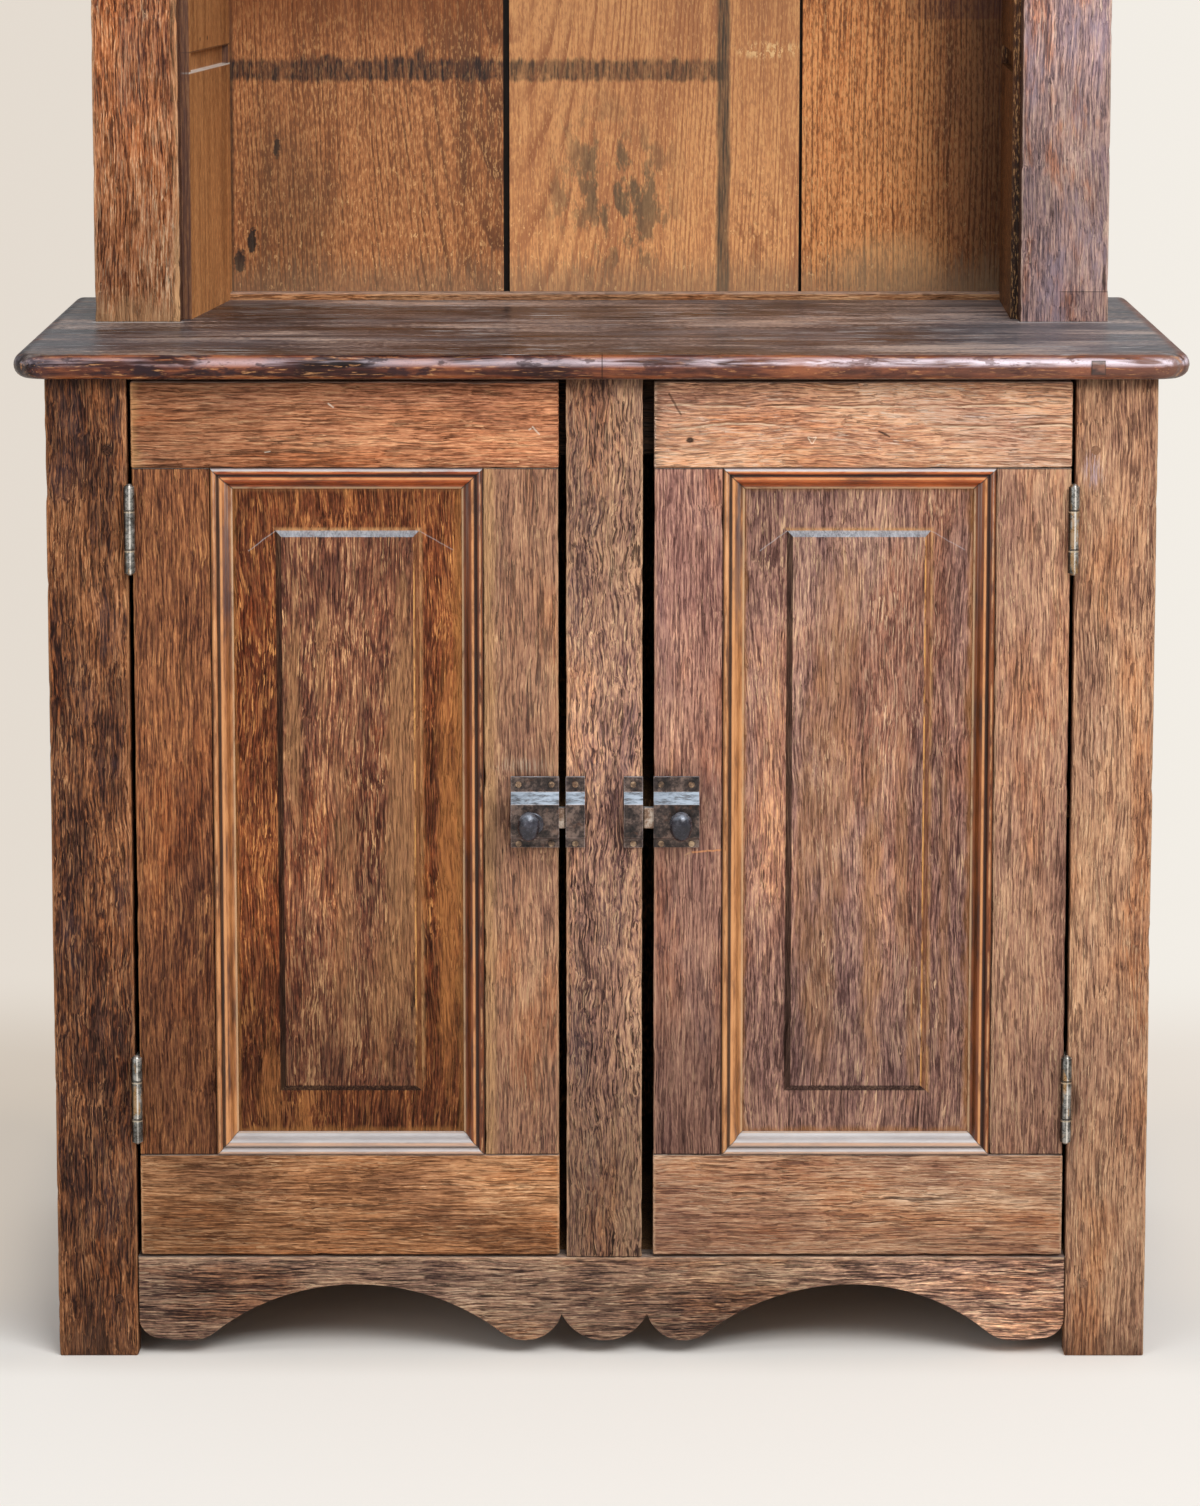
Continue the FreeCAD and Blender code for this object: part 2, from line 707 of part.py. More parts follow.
def apron_outline():
    """The whole outline: two arches between lobes that meet in cusps beside a wider centre lobe."""
    middle = centre_stile_offset
    cusp_rise = cusp_height - lobe_bottom
    lobe_half = inner_lobe_offset - cusp_offset
    lobe_radius = (lobe_half**2 + cusp_rise**2) / (2 * cusp_rise)
    centre_radius = (cusp_offset**2 + cusp_rise**2) / (2 * cusp_rise)
    edge = []
    for end, outward in ((stile_left, -1), (stile_right, 1)):
        inner_x = middle + outward * inner_lobe_offset
        outer_x = end - outward * end_lobe_inset
        apex_x = middle + outward * arch_centre_offset
        cusp_x = middle + outward * cusp_offset
        cusp_angle = math.atan2(cusp_rise - lobe_radius, cusp_x - inner_x) % (2 * math.pi)
        edge += end_lobe(end, outer_x)
        edge += half_arch(apex_x, outer_x, lobe_radius)
        edge += half_arch(apex_x, inner_x, lobe_radius)
        edge.append(arc_on((inner_x, lobe_bottom + lobe_radius), lobe_radius, 1.5 * math.pi, cusp_angle))
    spread = math.asin(cusp_offset / centre_radius)
    centre_point = (middle, lobe_bottom + centre_radius)
    edge.append(arc_on(centre_point, centre_radius, 1.5 * math.pi - spread, 1.5 * math.pi + spread))
    corners = [
        Vector(stile_right, apron_setback, apron_end_height),
        Vector(stile_right, apron_setback, apron_top),
        Vector(stile_left, apron_setback, apron_top),
        Vector(stile_left, apron_setback, apron_end_height),
    ]
    edge += [Part.LineSegment(a, b) for a, b in zip(corners, corners[1:])]
    return Part.Wire(Part.__sortEdges__([part.toShape() for part in edge]))


apron = Part.Face(apron_outline()).extrude(Vector(0, frame_thickness - apron_setback, 0))
apron_tenon_z = (apron_end_height, apron_top - arris)
apron_tenons = [
    block((edge, edge + outward * apron_tenon), (tenon_front, tenon_back), apron_tenon_z)
    for edge, outward in ((stile_left, -1), (stile_right, 1))
]
centre_tenon = block(
    (centre_stile_offset - centre_tenon_width / 2, centre_stile_offset + centre_tenon_width / 2),
    (tenon_front, tenon_back),
    (apron_top - centre_tenon_length, apron_top),
)
save("apron", cut(fuse(apron, apron_tenons), [centre_tenon] + base_pegs))

for side, edges in (("left", (-half_base, stile_left)), ("right", (stile_right, half_base))):
    stile = eased(block(edges, (0, frame_thickness), (0, counter_underside)), ALONG_Z)
    save("base_" + side + "_stile", cut(stile, apron_tenons + base_pegs + frame_leaf_screws))

centre_stile = eased(
    block((centre_left, centre_right), (0, frame_thickness), (apron_top, counter_underside)), ALONG_Z
)
save("centre_stile", cut(fuse(centre_stile, [centre_tenon]), keeper_screws))

front_stretcher = block(
    (inside_left, inside_right),
    (frame_thickness, frame_thickness + stretcher_thickness),
    (counter_underside - stretcher_height, counter_underside),
)
back_stretcher = block(
    (inside_left, inside_right),
    (back_face - stretcher_thickness, back_face),
    (counter_underside - back_stretcher_height, counter_underside),
)
save("front_stretcher", cut(front_stretcher, base_pegs))
save("back_stretcher", back_stretcher)

bottom_board = block(
    (inside_left - housing_depth, inside_right + housing_depth),
    (frame_thickness, back_face),
    (apron_top - bottom_board_thickness, apron_top),
)
save("bottom_board", bottom_board)
for side, edges in (("left", (-half_base, inside_left)), ("right", (inside_right, half_base))):
    board = block(edges, (frame_thickness, base_depth), (0, counter_underside))
    save("base_" + side + "_side", board.cut(bottom_board))

shelf_front = frame_thickness + base_shelf_setback
base_shelf_z = (base_shelf_height, base_shelf_height + shelf_thickness)
base_shelf = block((inside_left, inside_right), (shelf_front, back_face), base_shelf_z)
save("base_shelf", eased(base_shelf, ALONG_X, arris, lambda p: p.y < shelf_front + arris))
cleat_z = (base_shelf_height - cleat_height, base_shelf_height)
cleats = [
    block((wall, wall + inward * cleat_width), (shelf_front, back_face), cleat_z)
    for wall, inward in ((inside_left, 1), (inside_right, -1))
]
save("shelf_cleats", cleats)


def lapped_boards(edges, joints, low, high):
    """Upright back boards. joints gives each board's right edge and the gap that its lap closes behind."""
    boards = []
    lap_y = back_face + back_thickness / 2
    starts = [(edges[0], edges[0])]
    ends = []
    for right, gap in joints:
        starts.append((right + gap, right + gap + lap_width))
        ends.append((right, right + gap + lap_width - lap_clearance))
    ends.append((edges[1], edges[1]))
    for (front_start, back_start), (front_end, back_end) in zip(starts, ends):
        front = block((front_start, front_end), (back_face, lap_y - lap_clearance), (low, high))
        back = block((back_start, back_end), (lap_y, base_depth), (low, high))
        core = block((back_start, front_end), (back_face, base_depth), (low, high))
        boards.append(fuse(core, [front, back]))
    return boards


third = (inside_right - inside_left) / 3
base_joints = [(inside_left + third * step, base_board_gap) for step in (1, 2)]
base_backs = lapped_boards((inside_left, inside_right), base_joints, base_back_foot, counter_underside)
save("base_back_boards", base_backs)


# ---- Counter -------------------------------------------------------------------------------------
half_counter = half_base + counter_end_overhang
counter_z = (counter_underside, counter_height)
counter = block((-half_counter, half_counter), (-counter_overhang, base_depth), counter_z)
counter = eased(counter, ALONG_Z, counter_corner_radius, lambda p: p.y < 0)
rim = [
    edge
    for edge in counter.Edges
    if edge.BoundBox.ZLength < nosing_radius and edge.BoundBox.YMin < base_depth - nosing_radius
]
counter = counter.makeFillet(nosing_radius, rim)
counter_middle = counter_height - counter_thickness / 2
plug_block = block(
    (plug_offset - plug_size / 2, plug_offset + plug_size / 2),
    (-counter_overhang, -counter_overhang + plug_depth),
    (counter_middle - plug_size / 2, counter_middle + plug_size / 2),
)
save("counter", counter.cut(plug_block))
save("nosing_plug", counter.common(plug_block))


# ---- Hutch ---------------------------------------------------------------------------------------
top_rail_tenons = [
    block(
        (edge, edge + outward * top_rail_tenon),
        (upper_front + tenon_front, upper_front + tenon_back),
        (upper_top - top_rail_height + door_tenon_shoulder, upper_top - door_tenon_shoulder),
    )
    for edge, outward in ((upper_left_edge, -1), (upper_right_edge, 1))
]
for side, edges in (("left", (-half_upper, upper_left_edge)), ("right", (upper_right_edge, half_upper))):
    stile = eased(block(edges, (upper_front, upper_behind_stile), (counter_height, upper_top)), ALONG_Z)
    save("hutch_" + side + "_stile", cut(stile, top_rail_tenons + hutch_pegs))

top_rail = block(
    (upper_left_edge, upper_right_edge),
    (upper_front, upper_behind_stile),
    (upper_top - top_rail_height, upper_top),
)
top_rail = eased(top_rail, ALONG_X, arris, lambda p: p.z < upper_top - arris)
save("hutch_top_rail", cut(fuse(top_rail, top_rail_tenons), hutch_pegs))
save("frame_pegs", base_pegs + hutch_pegs)

for side, edges in (
    ("left", (-half_upper, -half_upper + side_thickness)),
    ("right", (half_upper - side_thickness, half_upper)),
):
    board = block(edges, (upper_behind_stile, base_depth), (counter_height, upper_top))
    save("hutch_" + side + "_side", board)


def lining_x(side, y, depth=0.0):
    """Where a lining's inner face lies at a given Y, or a point some way into its thickness."""
    front, back, outward = {
        "left": (left_lining_front, left_lining_back, -1),
        "right": (right_lining_front, right_lining_back, 1),
    }[side]
    share = (y - upper_behind_stile) / (back_face - upper_behind_stile)
    return front + (back - front) * share + outward * depth


def between_linings(front, back, depth, low, high):
    """A board that runs from lining to lining, let into each by a depth."""
    plan = [
        (lining_x("left", front, depth), front),
        (lining_x("right", front, depth), front),
        (lining_x("right", back, depth), back),
        (lining_x("left", back, depth), back),
    ]
    return plan_prism(plan, low, high)


shelf_edge = upper_behind_stile + shelf_front_setback
shelf_places = {
    "lower": counter_height + lower_shelf_height,
    "upper": counter_height + upper_shelf_height,
}
shelves = {
    name: between_linings(shelf_edge, back_face, shelf_housing_depth, place, place + shelf_thickness)
    for name, place in shelf_places.items()
}
empty_housing = between_linings(
    shelf_edge,
    back_face - empty_housing_stop,
    shelf_housing_depth,
    counter_height + empty_housing_height,
    counter_height + empty_housing_height + shelf_thickness,
)
for name, shelf in shelves.items():
    save("hutch_" + name + "_shelf", shelf)
for side in ("left", "right"):
    plan = [
        (lining_x(side, upper_behind_stile), upper_behind_stile),
        (lining_x(side, back_face), back_face),
        (lining_x(side, back_face, lining_thickness), back_face),
        (lining_x(side, upper_behind_stile, lining_thickness), upper_behind_stile),
    ]
    lining = plan_prism(plan, counter_height, upper_top)
    save("hutch_" + side + "_lining", cut(lining, list(shelves.values()) + [empty_housing]))

hutch_joints = [(left_back_joint, left_back_gap), (right_back_joint, right_back_gap)]
hutch_edges = (-half_upper + side_thickness, half_upper - side_thickness)
hutch_backs = lapped_boards(hutch_edges, hutch_joints, counter_height, upper_top)
for name, board in zip(("left", "centre", "right"), hutch_backs):
    save("hutch_" + name + "_back_board", board)

strip_front = back_face - back_strip_depth
strip = between_linings(strip_front, back_face, 0.0, counter_height, counter_height + back_strip_height)
strip_arris = edges_along(
    strip, ALONG_X, lambda p: p.z > counter_height + arris and p.y < strip_front + arris
)
save("back_strip", strip.makeFillet(back_strip_round, strip_arris))

top_board = block((-half_upper, half_upper), (upper_front, base_depth), (upper_top, overall_height))
save("top_board", top_board)


# ---- Cornice -------------------------------------------------------------------------------------
def cornice_bar(length):
    """A length of cornice, its back on X = 0 and its face towards -X, standing under the overall height."""
    low = overall_height - cornice_height
    crest = overall_height - cornice_fillet
    foot = low + cornice_fillet
    inner = -cornice_foot
    outer = -cornice_projection

    def at(x, z):
        return Vector(x, 0, z)

    waist = at((inner + outer) / 2, (foot + crest) / 2)
    run = at(outer - inner, crest - foot)
    bow = at(-run.z, run.x).normalize() * cornice_bow
    lower_bow = (at(inner, foot) + waist) * 0.5 + bow
    upper_bow = (waist + at(outer, crest)) * 0.5 - bow
    outline = [
        Part.LineSegment(at(0, low), at(inner, low)),
        Part.LineSegment(at(inner, low), at(inner, foot)),
        Part.Arc(at(inner, foot), lower_bow, waist),
        Part.Arc(waist, upper_bow, at(outer, crest)),
        Part.LineSegment(at(outer, crest), at(outer, overall_height)),
        Part.LineSegment(at(outer, overall_height), at(0, overall_height)),
        Part.LineSegment(at(0, overall_height), at(0, low)),
    ]
    section = Part.Face(Part.Wire([part.toShape() for part in outline]))
    return section.extrude(Vector(0, length, 0))


outer_x = half_upper + cornice_projection
outer_y = upper_front - cornice_projection
side_run = cornice_bar(base_depth - outer_y)
side_run.translate(Vector(-half_upper, outer_y, 0))
corner = [(-half_upper, upper_front), (-half_upper, base_depth), (-outer_x, base_depth), (-outer_x, outer_y)]
left_cornice = side_run.common(plan_prism(corner, overall_height - cornice_height, overall_height))
front_run = cornice_bar(2 * outer_x)
front_run.rotate(Vector(0, 0, 0), ALONG_Z, 90)
front_run.translate(Vector(outer_x, upper_front, 0))
front_plan = [(-half_upper, upper_front), (half_upper, upper_front), (outer_x, outer_y), (-outer_x, outer_y)]
front_cornice = front_run.common(plan_prism(front_plan, overall_height - cornice_height, overall_height))
save("cornice_front", front_cornice)
save("cornice_left", left_cornice)
save("cornice_right", left_cornice.mirror(Vector(0, 0, 0), ALONG_X))
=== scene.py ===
import math

import bmesh
import bpy
from mathutils import Matrix, Vector, noise


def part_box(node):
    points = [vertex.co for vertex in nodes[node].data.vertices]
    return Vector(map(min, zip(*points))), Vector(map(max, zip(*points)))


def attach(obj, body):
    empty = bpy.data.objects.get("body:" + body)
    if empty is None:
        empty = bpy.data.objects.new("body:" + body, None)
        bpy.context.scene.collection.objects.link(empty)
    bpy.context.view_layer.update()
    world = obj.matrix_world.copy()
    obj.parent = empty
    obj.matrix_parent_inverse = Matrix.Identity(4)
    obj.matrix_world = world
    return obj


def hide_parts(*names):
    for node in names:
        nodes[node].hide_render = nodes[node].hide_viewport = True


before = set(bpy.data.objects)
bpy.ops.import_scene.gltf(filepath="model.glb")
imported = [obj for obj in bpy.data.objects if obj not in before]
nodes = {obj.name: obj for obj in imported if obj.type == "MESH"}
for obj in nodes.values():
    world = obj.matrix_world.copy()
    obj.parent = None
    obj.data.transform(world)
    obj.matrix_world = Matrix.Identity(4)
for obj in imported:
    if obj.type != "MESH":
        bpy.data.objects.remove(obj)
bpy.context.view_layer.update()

scene = bpy.context.scene

LEFT_DOOR = "left_door"
RIGHT_DOOR = "right_door"
CARCASS = "carcass"


# ---- Shader building ---------------------------------------------------------------------------------
def tone(red, green, blue):
    """A colour given as it looks on screen, 0 to 255, in the scene's linear values."""
    linear = [((c / 255 + 0.055) / 1.055) ** 2.4 if c > 10 else c / 255 / 12.92 for c in (red, green, blue)]
    return (*linear, 1.0)


class Finish:
    """A material built up a node at a time. Values may be numbers, colours or the sockets of other nodes."""

    def __init__(self, name):
        self.material = bpy.data.materials.new(name)
        self.material.use_nodes = True
        self.tree = self.material.node_tree
        self.tree.nodes.clear()
        self.output = self.tree.nodes.new("ShaderNodeOutputMaterial")
        self.place = self.add("TexCoord").outputs["Object"]

    def add(self, kind, **settings):
        node = self.tree.nodes.new("ShaderNode" + kind)
        for key, value in settings.items():
            setattr(node, key, value)
        return node

    def feed(self, socket, value):
        if isinstance(value, bpy.types.NodeSocket):
            self.tree.links.new(value, socket)
        elif value is not None:
            socket.default_value = value

    def math(self, operation, a, b=0.0, clamp=False):
        node = self.add("Math", operation=operation, use_clamp=clamp)
        self.feed(node.inputs[0], a)
        self.feed(node.inputs[1], b)
        return node.outputs[0]

    def times(self, first, *others):
        for other in others:
            first = self.math("MULTIPLY", first, other)
        return first

    def plus(self, first, *others):
        for other in others:
            first = self.math("ADD", first, other)
        return first

    def minus(self, a, b):
        return self.math("SUBTRACT", a, b)

    def apart(self, a, b):
        """How far two values lie from each other."""
        return self.math("ABSOLUTE", self.minus(a, b))

    def combine(self, operation, a, b):
        node = self.add("VectorMath", operation=operation)
        self.feed(node.inputs[0], a)
        self.feed(node.inputs[1], b)
        return node.outputs[0]

    def mapped(self, vector, scale=(1, 1, 1), shift=(0, 0, 0), turn=(0, 0, 0)):
        node = self.add("Mapping")
        self.feed(node.inputs["Vector"], vector)
        node.inputs["Location"].default_value = shift
        node.inputs["Rotation"].default_value = turn
        node.inputs["Scale"].default_value = scale
        return node.outputs[0]

    def noise(self, vector, scale, detail=2.0, roughness=0.5, colour=False):
        node = self.add("TexNoise")
        self.feed(node.inputs["Vector"], vector)
        node.inputs["Scale"].default_value = scale
        node.inputs["Detail"].default_value = detail
        node.inputs["Roughness"].default_value = roughness
        return node.outputs["Color" if colour else "Fac"]

    def span(self, value, low, high, start=0.0, end=1.0):
        """value from low to high becomes start to end, held at both ends."""
        node = self.add("MapRange", interpolation_type="SMOOTHSTEP")
        self.feed(node.inputs["Value"], value)
        node.inputs["From Min"].default_value = low
        node.inputs["From Max"].default_value = high
        node.inputs["To Min"].default_value = start
        node.inputs["To Max"].default_value = end
        return node.outputs[0]

    def band(self, value, low, inner_low, inner_high, high):
        """1 between the two inner values, and 0 outside low and high."""
        return self.math(
            "MULTIPLY", self.span(value, low, inner_low), self.span(value, inner_high, high, 1.0, 0.0)
        )

    def pattern(self, vector, stretch, shift, scale, detail=2.0, roughness=0.5, colour=False):
        """Noise whose cells are drawn out along an axis where stretch is small."""
        return self.noise(self.mapped(vector, stretch, shift), scale, detail, roughness, colour)

    def drift(self, stretch, shift, scale, detail=2.0):
        """A shift either way along each axis, which changes slowly over the surface."""
        either_way = self.pattern(self.place, stretch, shift, scale, detail, colour=True)
        return self.combine("SUBTRACT", either_way, (0.5, 0.5, 0.5))

    def moved(self, vector, drift, reach):
        return self.combine("ADD", vector, self.combine("MULTIPLY", drift, reach))

    def ramp(self, value, stops):
        node = self.add("ValToRGB")
        self.feed(node.inputs[0], value)
        elements = node.color_ramp.elements
        while len(elements) < len(stops):
            elements.new(0.5)
        for element, (position, colour) in zip(elements, stops):
            element.position = position
            element.color = colour
        return node.outputs[0]

    def mix(self, share, a, b, blend="MIX"):
        node = self.add("Mix", data_type="RGBA", blend_type=blend)
        self.feed(node.inputs[0], share)
        self.feed(node.inputs[6], a)
        self.feed(node.inputs[7], b)
        return node.outputs[2]

    def paint(self, colour, mask, strength, over, blend="MIX"):
        """Lays another colour over the first where a mask allows it, up to a strength."""
        return self.mix(self.math("MULTIPLY", mask, strength), colour, over, blend)

    def axes(self, vector=None):
        node = self.add("SeparateXYZ")
        self.feed(node.inputs[0], vector or self.place)
        return node.outputs

    def bump(self, height, distance, strength=1.0):
        node = self.add("Bump")
        node.inputs["Strength"].default_value = strength
        node.inputs["Distance"].default_value = distance
        self.feed(node.inputs["Height"], height)
        return node.outputs[0]

    def blend(self, share, a, b):
        node = self.add("MixShader")
        self.feed(node.inputs[0], share)
        self.feed(node.inputs[1], a)
        self.feed(node.inputs[2], b)
        return node.outputs[0]

    def surface(self, colour, roughness, normal, metallic=0.0, sheen=0.5):
        shader = self.add("BsdfPrincipled")
        self.feed(shader.inputs["Base Color"], colour)
        self.feed(shader.inputs["Roughness"], roughness)
        self.feed(shader.inputs["Metallic"], metallic)
        self.feed(shader.inputs["Normal"], normal)
        self.feed(shader.inputs["Specular IOR Level"], sheen)
        self.feed(self.output.inputs[0], shader.outputs[0])
        return self.material

    def unsettled(self, distance, ragged, amount):
        """A distance moved in and out by a ragged pattern, where there is one."""
        if ragged is None:
            return distance
        return self.plus(distance, self.times(self.minus(ragged, 0.5), amount))

    # Marks on a surface, each a mask from 0 to 1.
    def near(self, axis, value, width, ragged=None):
        """How near a point is to a plane across an axis; ragged moves the limit about."""
        distance = self.unsettled(self.apart(self.axes()[axis], value), ragged, 2 * width)
        return self.span(distance, 0.0, width, 1.0, 0.0)

    def spot(self, centre, radii, ragged=None, soft=0.35, turn=0.0):
        """An oval mark about a point (X, Z), with a ragged edge."""
        moved = self.mapped(self.place, shift=(-centre[0], 0, -centre[1]))
        oval = self.mapped(moved, scale=(1 / radii[0], 0, 1 / radii[1]), turn=(0, turn, 0))
        reach = self.add("VectorMath", operation="LENGTH")
        self.feed(reach.inputs[0], oval)
        distance = self.unsettled(reach.outputs["Value"], ragged, 2.2)
        return self.span(distance, 1.0 - soft, 1.0 + soft, 1.0, 0.0)

    def scratch(self, start, end, width, ragged=None):
        """A thin mark from one point (X, Z) to another."""
        run = (end[0] - start[0], end[1] - start[1])
        length = math.hypot(*run)
        moved = self.mapped(self.place, shift=(-start[0], 0, -start[1]))
        u, _, v = self.axes(self.mapped(moved, turn=(0, math.atan2(run[1], run[0]), 0)))
        v = self.unsettled(v, ragged, 3 * width)
        thin = self.span(self.math("ABSOLUTE", v), 0.4 * width, width, 1.0, 0.0)
        inside = self.band(u, 0.0, width, length - width, length)
        return self.times(thin, inside)

    def stroke(self, colour, start, end, width, paint, strength=0.8, ragged=None):
        return self.paint(colour, self.scratch(start, end, width, ragged), strength, paint)

    def facing(self, axis, low, high):
        """How much a surface faces along an axis."""
        return self.span(self.axes(self.add("TexCoord").outputs["Normal"])[axis], low, high)

    def facing_up(self, low=0.35, high=0.75):
        """How much a surface faces upwards, where dust settles and light catches."""
        return self.facing(2, low, high)

    def most(self, masks):
        total = masks[0]
        for mask in masks[1:]:
            total = self.math("MAXIMUM", total, mask)
        return total


def along(grain, length):
    """A texture scale that is fine across the grain and drawn out along it, where length is small."""
    return tuple(length if axis == grain else 1 for axis in "XYZ")


def across(grain, amount):
    """A shift that moves a point across the grain and never along it."""
    return tuple(0.0 if axis == grain else amount for axis in "XYZ")


counter_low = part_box("counter")[0].z
STRAND_SHARE = 0.08
OAK_CONTRAST = 0.23
OAK_STOPS = (0.0, 0.28, 0.5, 0.74, 1.0)
DIRT = tone(22, 15, 12)


def oak_wood(f, bent, grain, seed, tones, broad, grit):
    """The wood's own colour, from finest fibres to widest patches, and three of the patterns in it."""
    fibres = f.pattern(bent, along(grain, 0.05), (seed, 2 * seed, 0), 720, 2.0, 0.6)
    specks = f.pattern(f.place, along(grain, 0.3), (seed, 6 * seed, 0), 640, 2.0, 0.6)
    strands = f.pattern(bent, along(grain, 0.03), (3 * seed, seed, 0), 250, 2.0, 0.55)
    streaks = f.pattern(bent, along(grain, 0.045), (0, seed, 4 * seed), 62, 3.0, 0.55)
    patches = f.pattern(f.place, along(grain, 0.3), (seed, 5 * seed, 0), 13, 3.0, 0.55)
    value = f.plus(
        f.times(fibres, 0.7 * grit), f.times(specks, 0.3 * grit), f.times(strands, STRAND_SHARE),
        f.times(streaks, 0.32 * broad), f.times(patches, 0.6 * broad),
    )
    middle = (grit + STRAND_SHARE + 0.92 * broad) / 2
    value = f.span(value, middle - OAK_CONTRAST, middle + OAK_CONTRAST)
    return f.ramp(value, list(zip(OAK_STOPS, tones))), fibres, strands, patches


def oak_wear(f, colour, bent, grain, seed, tones, patches, bare, lines, glints):
    """Lays rubbed places, dark pores, bare fibres, cracks, flecks and long broken lines over the wood."""
    deep, _, _, light, tan = tones
    bare_wood = f.mix(0.5, light, tan)
    crowd = f.pattern(f.place, along(grain, 0.4), (2 * seed, 0, 3 * seed), 26, 3.0, 0.6)
    rubbed = f.pattern(bent, along(grain, 0.06), (seed, 0, 7 * seed), 260, 4.0, 0.7)
    rub = f.math("MULTIPLY", f.span(rubbed, 0.52, 0.6), f.span(patches, 0.52, 0.64), clamp=True)
    colour = f.paint(colour, rub, 0.4 * bare, bare_wood)
    pores = f.pattern(bent, along(grain, 0.05), (0, 3 * seed, seed), 640, 2.0, 0.6)
    pore = f.times(f.span(pores, 0.545, 0.6), f.span(crowd, 0.66, 0.42, 0.35, 1.0))
    colour = f.paint(colour, pore, lines, deep)
    hairs = f.times(f.span(pores, 0.445, 0.39), f.span(crowd, 0.44, 0.6, 0.25, 1.0))
    colour = f.paint(colour, hairs, 0.6 * glints, bare_wood)
    cracks = f.pattern(bent, along(grain, 0.028), (4 * seed, 0, seed), 300, 3.0, 0.6)
    crack = f.times(f.span(cracks, 0.625, 0.66), f.span(crowd, 0.62, 0.4, 0.1, 1.0))
    colour = f.paint(colour, crack, 0.6, f.mix(0.35, tone(14, 9, 8), deep))
    slivers = f.pattern(bent, along(grain, 0.08), (9 * seed, 0, 0), 620, 2.0, 0.6)
    flecks = f.times(f.span(slivers, 0.585, 0.63), f.span(crowd, 0.48, 0.66, 0.06, 1.0))
    colour = f.paint(colour, flecks, glints, tan)
    long_lines = f.pattern(bent, along(grain, 0.028), (8 * seed, 2 * seed, 0), 300, 2.0, 0.5)
    broken = f.pattern(f.place, along(grain, 0.2), (0, 8 * seed, seed), 110, 2.0, 0.5)
    light_line = (0.5, f.span(broken, 0.47, 0.55), f.mix(0.6, light, tan))
    dark_line = (0.57, f.span(broken, 0.53, 0.45), deep)
    for level, share, over in (light_line, dark_line):
        line = f.span(f.apart(long_lines, level), 0.006, 0.026, 0.5, 0.0)
        colour = f.paint(colour, line, share, over)
    return colour, rub, pore, crack, flecks


def graded(f, colour, grain, steps):
    """A colour that grows lighter or darker along the grain, by (place, lightness) steps, which carry the
    wood's own tone together with painted light and shade.
    """
    lightness = steps[0][1]
    for (low, before), (high, after) in zip(steps, steps[1:]):
        lightness = f.plus(lightness, f.span(f.axes()["XYZ".index(grain)], low, high, 0.0, after - before))
    return f.combine("MULTIPLY", colour, lightness)


